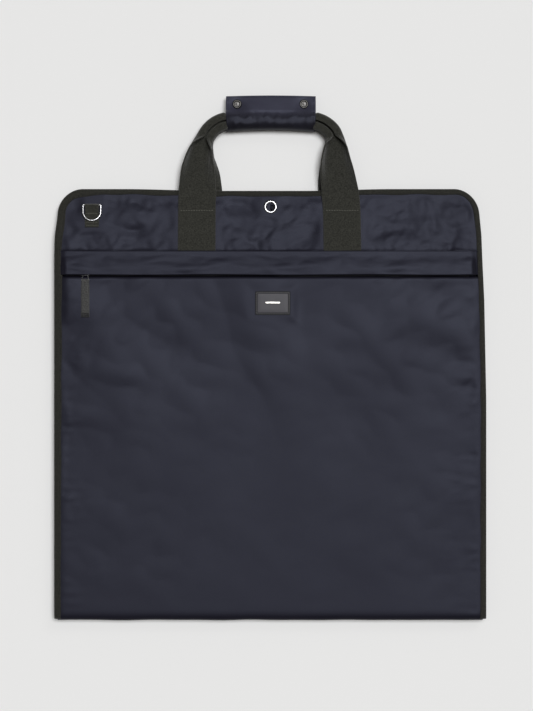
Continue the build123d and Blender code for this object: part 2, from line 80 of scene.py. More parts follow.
FOLD_Y, AXIS_Z = joint_at("fold_hinge")[1:]
HALF_W = cad("front_binding")[1][0]
TOP = cad("front_binding")[1][1] - FOLD_Y
SEAM = cad("front_yoke")[0][1] - FOLD_Y
FRONT_IN = cad("front_binding")[0][2]
BACK_IN = cad("back_binding")[1][2]
FRONT_DEPTH = cad("pocket_front_panel")[1][2] - FRONT_IN
BACK_DEPTH = BACK_IN - cad("back_main_panel")[0][2]
BACK_SEAM_DEPTH = BACK_IN - cad("back_yoke")[0][2]
FRONT_EDGE_DEPTH = 4.4
BACK_EDGE_DEPTH = 3.1
BACK_BEND = 430.0
POCKET_TOP = cad("pocket_front_panel")[1][1] - FOLD_Y + 0.8
TAPE_W = 9.0
CORNER_R = 33.0
SHELL_T = 0.7  # outer nylon
LINING_T = 0.5
FOLD_RUN = cad("front_fold_panel")[1][1] - FOLD_Y
FOLD_GAP = 0.6
FOLD_SQUARE = 4.5  # shape of the fold's section: 2 is round, more is squarer
RIM = {1: 11.0, -1: 9.2}  # thickness of each half at its taped side
NAME = {1: "front", -1: "back"}
INNER = {1: FRONT_IN, -1: BACK_IN}  # level of each half's face that meets the other


def smooth(t):
    """An even step from 0 to 1."""
    t = np.clip(t, 0.0, 1.0)
    return t * t * (3 - 2 * t)


def unit(vectors):
    """The same directions, 1 long."""
    return vectors / np.maximum(np.linalg.norm(vectors, axis=-1, keepdims=True), 1e-9)


def distances(path):
    """How far along a path each of its points is."""
    return np.concatenate([[0], np.cumsum(np.linalg.norm(np.diff(path, axis=0), axis=1))])


def pair(u, v):
    """A sheet's map from its two coordinates."""
    return np.stack(np.broadcast_arrays(u, v), -1)


def waves(x, y, seed, length, along=0.0, spread=PI, count=16):
    """A smooth random field about 1 high, of waves about one length that run near one direction."""
    rng = np.random.default_rng(seed)
    total = 0.0
    for _ in range(count):
        angle = along + rng.uniform(-spread, spread)
        k = 2 * PI / (length * rng.uniform(0.7, 1.5))
        total = total + np.cos(k * (x * math.cos(angle) + y * math.sin(angle)) + rng.uniform(0, 2 * PI))
    return total / math.sqrt(count / 2)


def creases(field, width):
    """Narrow rounded ridges where a field passes through zero."""
    return np.exp(-((field / width) ** 2))


def half_width(h):
    """Half of the bag's width at a height, less where the top corners are round."""
    up = np.clip(h - (TOP - CORNER_R), 0.0, CORNER_R)
    return HALF_W - CORNER_R + np.sqrt(np.maximum(CORNER_R**2 - up**2, 0.0))


def edge_distance(x, h):
    """Distance to the taped edge: the two sides, the top, and the round corners between."""
    across = HALF_W - CORNER_R - np.abs(x)
    up = TOP - CORNER_R - h
    corner = CORNER_R - np.hypot(np.minimum(across, 0.0), np.minimum(up, 0.0))
    return np.where((across < 0) & (up < 0), corner, CORNER_R + np.minimum(across, up))


def depth(side, h):
    """How thick a half is at a height, away from its taped edges. side is 1 in front, -1 behind."""
    if side > 0:
        levels = ([0, SEAM, TOP], [FRONT_DEPTH, FRONT_DEPTH, FRONT_EDGE_DEPTH])
    else:
        levels = ([0, BACK_BEND, SEAM, TOP], [BACK_DEPTH, BACK_DEPTH, BACK_SEAM_DEPTH, BACK_EDGE_DEPTH])
    return np.interp(h, *levels)


def crown(side, x, h):
    """Thickness of a half at a place, thinner towards its taped sides and its fold."""
    full = depth(side, h)
    rim = np.minimum(RIM[side], full)
    inside = np.clip((edge_distance(x, h) - 2.0) / 14.0, 0.0, 1.0)
    rolled = rim + (full - rim) * (1 - (1 - inside) ** 2.4)
    run = np.clip((h - FOLD_GAP) / (FOLD_RUN - FOLD_GAP), 0.0, 1.0)
    return rolled * np.maximum(1 - (1 - run) ** FOLD_SQUARE, 0.0) ** (1 / FOLD_SQUARE)


def near_edge(x, h, reach):
    """1 at the taped edge, fading to 0 over a reach."""
    return np.exp(-np.maximum(edge_distance(x, h) - TAPE_W, 0.0) / reach)


def facets(x, h, seed, length, along, spread):
    """Broad flat-sided folds: the higher of two wave fields that cross."""
    one = waves(x, h, seed, length, along - 0.55, spread)
    two = waves(x, h, seed + 100, length * 0.8, along + 0.55, spread)
    gap = one - two
    return 0.5 * (one + two + np.sqrt(gap**2 + 0.006)) - 0.5


def panel_wrinkles(x, h, seed):
    """The large panel: faint long diagonal waves, with small puckers along its taped sides."""
    blend = smooth((x + 40) / 160)
    left, right = (facets(x, h, seed, 170, a, 0.4) for a in (0.95, 2.2))
    slow = left * (1 - blend) + right * blend
    upper = 0.3 + 0.7 * smooth((h - 160) / 280)
    sides = 0.45 + 0.55 * smooth((np.abs(x) - 60) / 170)
    small = facets(x, h, seed + 1, 62, 1.3, 0.8)
    tight = facets(x, h, seed + 2, 26, 1.4, 0.9)
    pucker = waves(x * 0.25, h, seed + 3, 15, along=PI / 2, spread=0.6)
    pucker = pucker * smooth(0.5 + 0.6 * waves(x, h, seed + 4, 90))
    fade = np.clip(h / 60.0, 0.0, 1.0)
    by_edge = near_edge(x, h, 26) * smooth(0.4 + 0.6 * waves(x, h, seed + 5, 80))
    broad = fade * upper * (0.85 * slow + 0.42 * sides * small)
    return broad + 0.3 * pucker * near_edge(x, h, 11) + 0.3 * tight * by_edge * fade


def yoke_wrinkles(x, h, seed):
    """The yoke: soft diagonal folds between the handles and the corners."""
    blend = smooth((x + 60) / 120)
    left, right = (facets(x, h, seed, 74, a, 0.45) for a in (0.9, 2.2))
    slow = left * (1 - blend) + right * blend
    small = facets(x, h, seed + 1, 27, 1.6, 0.8)
    tight = facets(x, h, seed + 5, 14, 1.6, 0.9) * smooth(0.3 + 0.7 * waves(x, h, seed + 6, 70))
    top = np.exp(-np.maximum(TOP - TAPE_W - h, 0) / 9)
    pucker = waves(x, h * 0.25, seed + 2, 11, along=0.0, spread=0.3) * top
    at_seam = waves(x, h * 0.3, seed + 3, 14, along=0.0, spread=0.3) * np.exp(-np.maximum(h - SEAM, 0) / 7)
    return 0.85 * slow + 0.3 * small + 0.12 * tight + 0.12 * pucker + 0.26 * at_seam


def pressed(x, h):
    """1 where something sewn or clamped on holds the cloth flat, 0 elsewhere."""
    left_anchor, right_anchor = (-99, 520, 27, 28), (97, 520, 27, 28)
    ring, eyelet, label = (-240, 545, 12, 20), (0, 555, 9, 9), (3, 425, 24, 16)
    held = 0.0
    for at_x, at_h, wide, tall in (left_anchor, right_anchor, ring, eyelet, label):
        out = np.maximum(np.maximum(np.abs(x - at_x) - wide, np.abs(h - at_h) - tall), 0.0)
        held = np.maximum(held, np.exp(-((out / 9.0) ** 2)))
    return held


def half_face(side, x, h):
    """Level of a half's outer cloth, with its wrinkles."""
    yoke = yoke_wrinkles(x, h, 11 if side > 0 else 51)
    panel = panel_wrinkles(x, h, 21 if side > 0 else 61)
    wrinkle = np.where(h > SEAM, yoke, panel)
    calm = smooth((edge_distance(x, h) - 8.0) / 12.0) * (1.0 if side > 0 else 0.35)
    thick = crown(side, x, h)
    free = (1 - pressed(x * side, h)) * np.minimum(thick / 4.0, 1.0)
    return INNER[side] + side * (thick - 0.1 + free * (calm * wrinkle - 1.0))


def settle(points):
    """The bag lies a little out of square: its sides lean in and its corners rise towards the top."""
    x, h = points[..., 0], points[..., 1] - FOLD_Y
    left = np.interp(h, [0, 490, 515, 540, 576], [0, 0, 0.8, 4.2, 6.2])
    right = np.interp(h, [0, 295, 362, 430, 483, 517, 544, 576], [0, 0, 1.3, 2.7, 5.2, 6.6, 9.2, 11.4])
    rise = (1.0 + 2.4 * smooth((np.abs(x + 15) - 60) / 120)) * smooth((h - 480) / 95)
    rise = rise - 1.2 * smooth((60 - h) / 60)
    moved = points.copy()
    moved[..., 0] = x * 1.003 - 0.4 + left * smooth((-150 - x) / 140) - right * smooth((x - 150) / 140)
    moved[..., 1] += rise
    return moved


# ---- Meshes ----


def add_mesh(name, points, faces, material, uv=None):
    """A smooth mesh from points in millimetres and faces of corner indices, with a map in metres."""
    mesh = bpy.data.meshes.new(name)
    mesh.from_pydata((points.reshape(-1, 3) * MM).tolist(), [], faces)
    mesh.polygons.foreach_set("use_smooth", [True] * len(mesh.polygons))
    if uv is not None:
        layer = mesh.uv_layers.new(name="weave")
        corner = np.zeros(len(mesh.loops), np.int32)
        mesh.loops.foreach_get("vertex_index", corner)
        layer.data.foreach_set("uv", (uv.reshape(-1, 2) * MM)[corner].astype(np.float32).ravel())
    mesh.materials.append(material)
    obj = bpy.data.objects.new(name, mesh)
    bpy.context.scene.collection.objects.link(obj)
    return obj


def quads(rows, cols, wrap=False):
    """Corner indices of a grid of points, joined round its columns if it wraps."""
    r, c = np.meshgrid(np.arange(rows - 1), np.arange(cols if wrap else cols - 1), indexing="ij")
    here, nxt = r * cols + c, r * cols + (c + 1) % cols
    return np.stack([here, nxt, nxt + cols, here + cols], -1).reshape(-1, 4)


def cloth(name, p, uv, material, thick):
    """A sheet of cloth: a grid of points (rows, columns, 3) on its face, with a back and a rim."""
    rows, cols = p.shape[:2]
    back = p - unit(np.cross(np.gradient(p, axis=1), np.gradient(p, axis=0))) * thick
    n = rows * cols
    face = quads(rows, cols)
    index = np.arange(n).reshape(rows, cols)
    ring = np.concatenate([index[0, :], index[1:, -1], index[-1, -2::-1], index[-2:0:-1, 0]])
    nxt = np.roll(ring, -1)
    rim = np.stack([nxt, ring, ring + n, nxt + n], -1)
    faces = np.concatenate([face, face[:, ::-1] + n, rim]).tolist()
    made = add_mesh(name, np.concatenate([p, back]), faces, material, np.concatenate([uv, uv]))
    made.data.validate()
    return made


def tube(name, p, uv, material, flip=False, caps=True):
    """A skin round a run of closed sections (sections, corners, 3), with its two ends filled."""
    count, cols = p.shape[:2]
    faces = quads(count, cols, wrap=True)
    faces = (faces[:, ::-1] if flip else faces).tolist()
    if caps:
        start, end = list(range(cols)), list(range((count - 1) * cols, count * cols))
        faces += [start, end[::-1]] if flip else [start[::-1], end]
    return add_mesh(name, p, faces, material, uv)


def resample(path, step):
    """Points evenly spaced along a path."""
    along = distances(path)
    count = max(2, int(round(along[-1] / step)) + 1)
    at = np.linspace(0, along[-1], count)
    return np.stack([np.interp(at, along, path[:, k]) for k in range(3)], 1), at


def smoothed(values, passes):
    """A line's values with its corners rounded."""
    for _ in range(passes):
        inside = (values[:-2] + 2 * values[1:-1] + values[2:]) / 4
        values = np.concatenate([values[:1], inside, values[-1:]])
    return values


def ball(rings, around):
    """Points and faces of a small closed ball of radius 1, poles on X."""
    lat = np.linspace(0, PI, rings + 2)[1:-1]
    turn = np.arange(around) * 2 * PI / around
    body = [(math.cos(a), math.sin(a) * math.cos(t), math.sin(a) * math.sin(t)) for a in lat for t in turn]
    points = np.array([(1, 0, 0), *body, (-1, 0, 0)], float)
    faces = [(0, 1 + i, 1 + (i + 1) % around) for i in range(around)]
    for r in range(rings - 1):
        for i in range(around):
            a, b = 1 + r * around + i, 1 + r * around + (i + 1) % around
            faces.append((a, a + around, b + around, b))
    last, end = 1 + (rings - 1) * around, 1 + rings * around
    faces += [(end, last + (i + 1) % around, last + i) for i in range(around)]
    return points, faces


def beads(name, middles, axes, material, rings=5, around=6):
    """Many small rounded bodies: their middles, and their half axes as (count, 3, 3)."""
    shape, faces = ball(rings, around)
    every = middles[:, None, :] + np.einsum("pk,skd->spd", shape, axes)
    all_faces = [tuple(i + s * len(shape) for i in f) for s in range(len(middles)) for f in faces]
    return add_mesh(name, every, all_faces, material)


def stitches(name, path, outward, material, pitch=3.0, length=2.2, width=0.5, height=0.28):
    """A row of thread stitches along a path. outward is the surface's normal."""
    points, _ = resample(np.asarray(path, float), pitch)
    middle = (points[:-1] + points[1:]) / 2
    along = unit(points[1:] - points[:-1])
    over = unit(np.cross(np.broadcast_to(np.asarray(outward, float), middle.shape), along))
    normal = np.cross(along, over)
    axes = np.stack([along * length / 2, over * width / 2, normal * height], 1)
    return beads(name, middle, axes, material)


def joined(name, parts):
    """One object from several."""
    bpy.ops.object.select_all(action="DESELECT")
    for o in parts:
        o.select_set(True)
    bpy.context.view_layer.objects.active = parts[0]
    bpy.ops.object.join()
    parts[0].name = name
    return parts[0]


def put(piece, body, slot, *nodes):
    """The piece rides on a body and stands for CAD nodes, which it hides; slot is not used."""
    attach(piece, body)
    if nodes:
        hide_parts(*nodes)
    return piece


def sewn(name, body, slot, rows):
    """Several rows of stitches as one piece; each row is what stitches() takes after its name."""
    put(joined(name, [stitches(f"{name}_{i}", *row) for i, row in enumerate(rows)]), body, slot)


def sheet(piece, body, slot, node):
    """A cloth that rides on a body and stands for a CAD node, which it hides."""
    put(piece, body, slot, node)


# ---- Materials ----


class Finish:
    """A material under construction: short calls to add and link its nodes."""

    def __init__(self, name, color, roughness, **sockets):
        self.material = bpy.data.materials.new(name)
        self.material.use_nodes = True
        self.tree = self.material.node_tree
        self.shader = self.tree.nodes["Principled BSDF"]
        self.shader.inputs["Base Color"].default_value = (*color, 1)
        self.shader.inputs["Roughness"].default_value = roughness
        for socket, value in sockets.items():
            self.shader.inputs[socket.replace("_", " ")].default_value = value
        self.bump_end = None

    def node(self, kind, settings=None, **inputs):
        made = self.tree.nodes.new("ShaderNode" + kind)
        for key, value in (settings or {}).items():
            setattr(made, key, value)
        for key, value in inputs.items():
            number = key[0] == "i" and key[1:].isdigit()
            socket = made.inputs[int(key[1:]) if number else key.replace("_", " ")]
            if isinstance(value, bpy.types.NodeSocket):
                self.tree.links.new(value, socket)
            else:
                socket.default_value = value
        return made

    def math(self, operation, a, b=0.0, c=0.0):
        return self.node("Math", {"operation": operation}, i0=a, i1=b, i2=c).outputs[0]

    def flat_map(self):
        """The sheet's own map, across and along, in metres."""
        split = self.node("SeparateXYZ", i0=self.node("UVMap", {"uv_map": "weave"}).outputs[0])
        return split.outputs[0], split.outputs[1]

    def place(self):
        return self.node("TexCoord").outputs["Object"]

    def noise(self, scale, detail=3.0, rough=0.5):
        made = self.node("TexNoise", Vector=self.place(), Scale=scale, Detail=detail, Roughness=rough)
        return made.outputs["Fac"]

    def ripple(self, value, period):
        """A rounded wave of a length in metres along a value, from 0 to 1."""
        turn = self.math("MULTIPLY", value, 2 * PI / period)
        return self.math("MULTIPLY_ADD", self.math("SINE", turn), 0.5, 0.5)

    def clamped(self, a, b):
        """The sum of two values, kept from 0 to 1."""
        return self.node("Clamp", i0=self.math("ADD", a, b)).outputs[0]

    def tint(self, factor, dark, light):
        """The base colour runs between two colours."""
        mix = self.node("Mix", {"data_type": "RGBA"}, i0=factor, i6=(*dark, 1), i7=(*light, 1))
        self.tree.links.new(mix.outputs[2], self.shader.inputs["Base Color"])

    def rough(self, factor, low, high):
        made = self.node("MapRange", Value=factor, To_Min=low, To_Max=high)
        self.tree.links.new(made.outputs["Result"], self.shader.inputs["Roughness"])

    def bump(self, value, depth, strength=1.0):
        """Adds relief of a depth in metres on top of any earlier relief."""
        made = self.node("Bump", Strength=strength, Distance=depth, Height=value)
        if self.bump_end is not None:
            self.tree.links.new(self.bump_end, made.inputs["Normal"])
        self.bump_end = made.outputs["Normal"]
        self.tree.links.new(self.bump_end, self.shader.inputs["Normal"])


def nylon(name, dark, light, roughness=0.44, shaded_span=None):
    """Close plain-woven nylon: fine threads both ways, a soft sheen and slow changes of tone.
    The last argument, if given, holds two places along the sheet: painted shade darkens it up to the first,
    and painted light brightens it past the second."""
    tint = (0.72, 0.77, 1.0, 1.0)
    made = Finish(name, light, roughness, Specular_IOR_Level=0.185, Specular_Tint=tint)
    u, v = made.flat_map()
    warp, weft = made.ripple(u, 0.55 * MM), made.ripple(v, 0.5 * MM)
    weave = made.math("MULTIPLY", warp, weft)
    slow = made.noise(9.0, 4.0, 0.55)
    grain = made.noise(900.0, 2.0)
    mixed = made.math("MULTIPLY_ADD", grain, 0.35, made.math("MULTIPLY", slow, 0.75))
    if shaded_span:
        first, second = shaded_span
        # Painted shade up to the first place and painted light past the second, by the length along the
        # sheet.
        painted_shade_and_light = made.node("MapRange", Value=v, From_Min=first, From_Max=second, To_Min=-0.5, To_Max=0.25)
        mixed = made.clamped(mixed, painted_shade_and_light.outputs["Result"])
    made.tint(mixed, dark, light)
    made.rough(slow, roughness - 0.05, roughness + 0.08)
    made.bump(weave, 0.06 * MM, 0.5)
    made.bump(made.noise(260.0, 3.0), 0.12 * MM, 0.35)
    return made.material


def ribbed(name, dark, light, period):
    """Grosgrain: a tape with fine ribs across it."""
    made = Finish(name, light, 0.75, Specular_IOR_Level=0.2, Sheen_Weight=0.15, Sheen_Roughness=0.5)
    u, v = made.flat_map()
    rib = made.ripple(v, period)
    thread = made.ripple(u, 0.45 * MM)
    grain = made.noise(500.0, 3.0, 0.6)
    speck = made.noise(560.0, 2.0, 0.6)
    mixed = made.math("MULTIPLY_ADD", rib, 0.3, made.math("MULTIPLY", speck, 2.2))
    made.tint(made.clamped(mixed, -0.75), dark, light)
    made.bump(rib, 0.16 * MM, 0.8)
    made.bump(thread, 0.05 * MM, 0.5)
    made.bump(grain, 0.08 * MM, 0.4)
    return made.material


def herringbone(name, dark, light):
    """Heavy webbing: thick yarns that lean one way and then the other in columns."""
    made = Finish(name, light, 0.8, Specular_IOR_Level=0.18, Sheen_Weight=0.2, Sheen_Roughness=0.5)
    u, v = made.flat_map()
    lean = made.math("PINGPONG", u, 2.6 * MM)
    yarn = made.ripple(made.math("ADD", v, lean), 1.5 * MM)
    column = made.ripple(u, 1.3 * MM)
    grain = made.noise(420.0, 3.0, 0.65)
    speck = made.noise(560.0, 2.0, 0.6)
    mixed = made.math("MULTIPLY_ADD", yarn, 0.3, made.math("MULTIPLY", speck, 2.0))
    made.tint(made.clamped(mixed, -0.65), dark, light)
    made.bump(yarn, 0.32 * MM, 0.9)
    made.bump(column, 0.1 * MM, 0.5)
    made.bump(grain, 0.12 * MM, 0.5)
    return made.material


def thread(name, dark, light):
    """Sewing thread: a fine twist."""
    made = Finish(name, light, 0.7, Specular_IOR_Level=0.12)
    twist = made.noise(1500.0, 2.0)
    made.tint(twist, dark, light)
    made.bump(twist, 0.05 * MM, 0.5)
    return made.material


def plated(name, color, roughness):
    """Polished plate with faint rubbing."""
    made = Finish(name, color, roughness, Metallic=1.0)
    worn = made.noise(180.0, 5.0, 0.65)
    made.rough(worn, roughness * 0.6, roughness * 1.7)
    made.tint(made.noise(60.0, 3.0), tuple(c * 0.9 for c in color), color)
    made.bump(made.noise(700.0, 2.0), 0.01 * MM, 0.3)
    return made.material


def enamel(name, color):
    """Dark enamelled metal, worn lighter and rougher in patches at random."""
    made = Finish(name, color, 0.35, Metallic=0.6, Coat_Weight=0.3, Coat_Roughness=0.2)
    worn = made.noise(260.0, 4.0, 0.6)
    made.tint(worn, color, tuple(c * 2.2 for c in color))
    made.rough(worn, 0.28, 0.5)
    return made.material


def leather(name, dark, light, gloss=0.3):
    """Fine pressed grain."""
    made = Finish(name, light, 0.5, Specular_IOR_Level=gloss)
    cells = made.node("TexVoronoi", Vector=made.place(), Scale=1400.0).outputs["Distance"]
    slow = made.noise(120.0, 4.0, 0.6)
    made.tint(slow, dark, light)
    made.rough(slow, 0.42, 0.6)
    made.bump(cells, 0.12 * MM, 0.5)
    made.bump(slow, 0.15 * MM, 0.3)
    return made.material


NAVY = nylon("navy_nylon", (0.0055, 0.0050, 0.0089), (0.0097, 0.0091, 0.0149))
# The wrap's tone runs along its sheet: painted shade darkens its palm side and painted light brightens its
# flap.
WRAP = nylon("wrap_nylon", (0.0090, 0.0085, 0.0120), (0.0370, 0.0370, 0.0550), 0.46, (24 * MM, 36 * MM))
LINING = nylon("lining_nylon", (0.0090, 0.0090, 0.0120), (0.0150, 0.0150, 0.0200), 0.6)
EDGE = ribbed("edge_grosgrain", (0.0060, 0.0060, 0.0044), (0.0260, 0.0255, 0.0200), 1.1 * MM)
PULL = ribbed("pull_grosgrain", (0.0150, 0.0150, 0.0150), (0.0820, 0.0820, 0.0800), 1.0 * MM)
ZIP_TAPE = ribbed("zip_tape", (0.0060, 0.0060, 0.0070), (0.0140, 0.0140, 0.0160), 0.9 * MM)
WEBBING = herringbone("olive_webbing", (0.0060, 0.0060, 0.0042), (0.0440, 0.0440, 0.0360))
DARK_THREAD = thread("dark_thread", (0.0060, 0.0060, 0.0075), (0.0140, 0.0140, 0.0170))
NAVY_THREAD = thread("navy_thread", (0.0300, 0.0300, 0.0450), (0.0600, 0.0600, 0.0850))
OLIVE_THREAD = thread("olive_thread", (0.1000, 0.1000, 0.0850), (0.2200, 0.2200, 0.1900))
CHROME = plated("bright_nickel", (0.36, 0.36, 0.37), 0.23)
NICKEL = plated("snap_nickel", (0.055, 0.053, 0.051), 0.3)
BLACK_METAL = enamel("black_enamel", (0.018, 0.018, 0.019))
COIL = enamel("zip_coil_plastic", (0.012, 0.012, 0.013))
PATCH = leather("patch_leather", (0.030, 0.029, 0.035), (0.052, 0.050, 0.059))
PATCH_DARK = leather("patch_border_leather", (0.004, 0.004, 0.005), (0.009, 0.009, 0.011), 0.1)
OLIVE_DIM = thread("olive_dim_thread", (0.0200, 0.0200, 0.0160), (0.0620, 0.0620, 0.0520))
GREY_THREAD = thread("grey_thread", (0.1500, 0.1500, 0.1550), (0.2600, 0.2600, 0.2650))
FOIL = plated("foil", (0.62, 0.60, 0.56), 0.3)


# ---- Cloth of the two halves ----


def at(x, h, z):
    """Points in the row frame from a place on the bag and a level."""
    x, h, z = np.broadcast_arrays(x, h, z)
    return np.stack([x, h + FOLD_Y, z], -1).astype(float)


def panel_strip():
    """One piece of nylon: the pocket's panel, round the fold, and up the back to its seam."""
    lie = np.linspace(1, 0, 170)[:-1] * (POCKET_TOP - FOLD_RUN) + FOLD_RUN
    turn = FOLD_GAP + (FOLD_RUN - FOLD_GAP) * (1 - np.sin(np.linspace(0, PI / 2, 16)))
    back = np.linspace(FOLD_RUN, SEAM + 3, 90)[1:]
    heights = np.concatenate([lie, turn, turn[::-1][1:], back])
    side = np.where(np.arange(len(heights)) < len(lie) + len(turn), 1, -1)
    x = np.linspace(-1, 1, 209)[None, :] * (HALF_W - 5.0)
    h = heights[:, None] + 0 * x
    resting = 0.75 + np.log1p(np.exp((half_face(-1, x + 0 * h, h) - 0.75) * 4)) / 4
    z = np.where(side[:, None] > 0, half_face(1, x + 0 * h, h), resting)
    hem = np.clip((h - (POCKET_TOP - 1.6)) / 1.6, 0, 1) * (side[:, None] > 0)
    z = z - 3.4 * hem**2
    tip = np.clip(1 - (h - FOLD_GAP) / FOLD_RUN, 0, 1) ** 3
    h = h + tip * 0.25 * (1 + waves(x, 0 * x, 5, 90, along=0.0, spread=0.0))
    points = settle(at(x, h, z))
    gaps = np.concatenate([[0], np.cumsum(np.hypot(np.diff(heights), np.diff(z[:, 100])))])
    uv = pair(x, gaps[:, None])
    made = cloth("panel_cloth", points, uv, NAVY, SHELL_T)
    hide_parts("pocket_front_panel", "front_fold_panel", "back_fold_panel", "back_main_panel")
    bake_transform(made)


EYELET = np.array([0.0, 555.0])
EYELET_HOLE = 7.8


def yoke_cloth(side):
    """The yoke of one half, from its seam to the top tape."""
    name = NAME[side]
    h = np.linspace(SEAM - (0.5 if side > 0 else 3.0), TOP - 4.5, 44)[:, None]
    u = np.linspace(-1, 1, 237)[None, :]
    x = u * (half_width(h) - 4.5)
    h = h + 0 * x
    z = half_face(side, x, h)
    seam = np.exp(-(((h - SEAM) / 2.2) ** 2))
    z = z + side * seam * 0.9
    if side > 0:
        out = np.hypot(x - EYELET[0], h - EYELET[1])
        inside = out < EYELET_HOLE
        push = EYELET_HOLE / np.maximum(out, 0.5)
        x = np.where(inside, EYELET[0] + (x - EYELET[0]) * push, x)
        h = np.where(inside, EYELET[1] + (h - EYELET[1]) * push, h)
    points = settle(at(x, h, z))
    made = cloth(f"{name}_yoke_cloth", points, pair(x, h), NAVY, SHELL_T)
    if side > 0:
        cut_disc(made, EYELET, EYELET_HOLE)
    sheet(made, f"{name}_half", "navy_nylon", f"{name}_yoke")


def cut_disc(obj, middle, radius):
    """Takes out the faces that lie wholly inside a circle."""
    mesh = obj.data
    edit = bmesh.new()
    edit.from_mesh(mesh)
    inside = {
        v.index
        for v in edit.verts
        if math.hypot(v.co.x / MM - middle[0], v.co.y / MM - FOLD_Y - middle[1]) < radius + 0.35
    }
    gone = [f for f in edit.faces if all(v.index in inside for v in f.verts)]
    bmesh.ops.delete(edit, geom=gone, context="FACES")
    edit.to_mesh(mesh)
    edit.free()


PLACKET_LOW = cad("pocket_placket")[0][1] - FOLD_Y
PLACKET_TOP_Z = cad("pocket_placket")[1][2]


def placket():
    """The flap over the pocket zip: two layers, creased along its length, with a soft lower edge."""
    x = np.linspace(-1, 1, 237)[None, :] * (HALF_W - 6.5)
    t = np.linspace(0, 1, 26)[:, None]
    edge = PLACKET_LOW - 0.9 + 0.4 * waves(x, 0 * x, 71, 150, along=0.0, spread=0.0)
    h = SEAM + 1.5 + (edge - SEAM - 1.5) * t
    run = smooth((SEAM + 1.5 - h) / 26.0)
    near_side = smooth((HALF_W - 9.5 - np.abs(x)) / 7.0)
    level = FRONT_IN + crown(1, x, h) - 0.2 + 1.2 * near_side
    top_level = PLACKET_TOP_Z - 0.35
    z = level + (top_level - level) * run * near_side
    crease = facets(x * 0.4, h, 72, 17, 1.5, 0.5)
    sharp = facets(x * 0.7, h, 73, 26, 0.9, 0.6)
    z = z + (0.09 * crease + 0.22 * sharp - 0.3) * smooth(t * 4) * near_side
    points = settle(at(x, h, z))
    made = cloth("placket_cloth", points, pair(x, h), NAVY, 0.6)
    sheet(made, "front_half", "navy_nylon", "pocket_placket")
    for label, h_row in (("edge", PLACKET_LOW + 3.2), ("seam", SEAM - 2.2)):
        row = np.abs(h - h_row).argmin(axis=0)
        cols = np.arange(points.shape[1])
        path = points[row, cols]
        path[:, 1] = FOLD_Y + h_row
        finish = NAVY_THREAD if label == "edge" else DARK_THREAD
        made = stitches(f"placket_{label}_stitches", path[4:-4], (0, 0, 1), finish, 3.0, 2.2, 0.6, 0.3)
        put(made, "front_half", "navy_nylon")


def seam_stitches():
    """Topstitching along the seams: a row on the front yoke, and a row on each side behind."""
    for side, name in NAME.items():
        x = np.linspace(-(HALF_W - 12), HALF_W - 12, 300)
        for row, h in enumerate((SEAM + 2.4, SEAM - 2.2) if side < 0 else (SEAM + 2.4,)):
            z = half_face(side, x, 0 * x + h) + side * 0.35
            made = stitches(f"{name}_seam_stitches_{row}", settle(at(x, h, z)), (0, 0, side), DARK_THREAD)
            put(made, f"{name}_half", "navy_nylon")


def facing():
    """The narrow strip of nylon between the zip and the yoke's seam, under the flap."""
    low = cad("zip_facing")[0][1] - FOLD_Y
    x = np.linspace(-1, 1, 60)[None, :] * (HALF_W - 8)
    h = np.linspace(low, SEAM - 0.5, 10)[:, None] + 0 * x
    t = np.clip((h - low) / 1.5, 0, 1)
    z = FRONT_IN + crown(1, x + 0 * h, h) - 1.1 - 2.2 * (1 - t) ** 2
    made = cloth("zip_facing_cloth", settle(at(x, h, z)), pair(x, h), NAVY, LINING_T)
    sheet(made, "front_half", "navy_nylon", "zip_facing")


def pocket_lining():
    """The pocket's back, inside the front half."""
    low, high = cad("pocket_lining")
    x = np.linspace(-1, 1, 90)[None, :] * (HALF_W - 10)
    h = np.linspace(low[1] - FOLD_Y + 2, high[1] - FOLD_Y, 80)[:, None] + 0 * x
    z = np.minimum(high[2] - 0.4, FRONT_IN + crown(1, x + 0 * h, h) - 2.4) + 0.15 * waves(x, h, 91, 60)
    made = cloth("pocket_lining_cloth", settle(at(x, h, z)), pair(x, h), LINING, LINING_T)
    sheet(made, "front_half", "navy_nylon", "pocket_lining")


SLOT_HALF = 7.0  # from the long zip's middle to the hemmed edge


def inner_face(side, hand):
    """One side of the face that meets the other half, hemmed beside the long zip."""
    name = NAME[side]
    node = f"{name}_inner_panel_{'left' if hand < 0 else 'right'}"
    tape = cad(f"main_zip_{name}_tapes")[1][1] - FOLD_Y
    h = np.linspace(cad(node)[0][1] - FOLD_Y + 0.5, TOP - 5, 150)[:, None]
    inner_x = SLOT_HALF * (1 - smooth((h - tape) / 6.0)) * np.ones_like(h)
    t = np.linspace(0, 1, 90)[None, :] ** 1.25
    x = hand * (inner_x + (half_width(h) - 5.0 - inner_x) * t)
    level = INNER[side]
    turned_in = np.exp(-((np.abs(x) - inner_x) / 1.0) ** 2)
    calm = smooth((edge_distance(x, h + 0 * x) - 4) / 20) * smooth((np.abs(x) - 7) / 14)
    ripple = 0.25 * waves(x, h, 101 + side * 3 + hand, 90) + 0.2 * waves(x, h, 111 + side + hand, 30)
    z = level + side * (0.25 + 1.6 * turned_in + calm * (0.25 + 0.5 * ripple))
    points = settle(at(x, h, z))
    if side * hand > 0:
        points = points[:, ::-1]
        x = x[:, ::-1]
    made = cloth(f"{node}_cloth", points, pair(x, h), LINING, LINING_T)
    sheet(made, f"{name}_half", "navy_nylon", node)
    row = at(hand * (SLOT_HALF + 2.2) + 0 * h[6:-10, 0], h[6:-10, 0], level + side * 0.15)
    made = stitches(f"{node}_stitches", row, (0, 0, -side), DARK_THREAD)
    put(made, f"{name}_half", "navy_nylon")


# ---- Taped edges ----


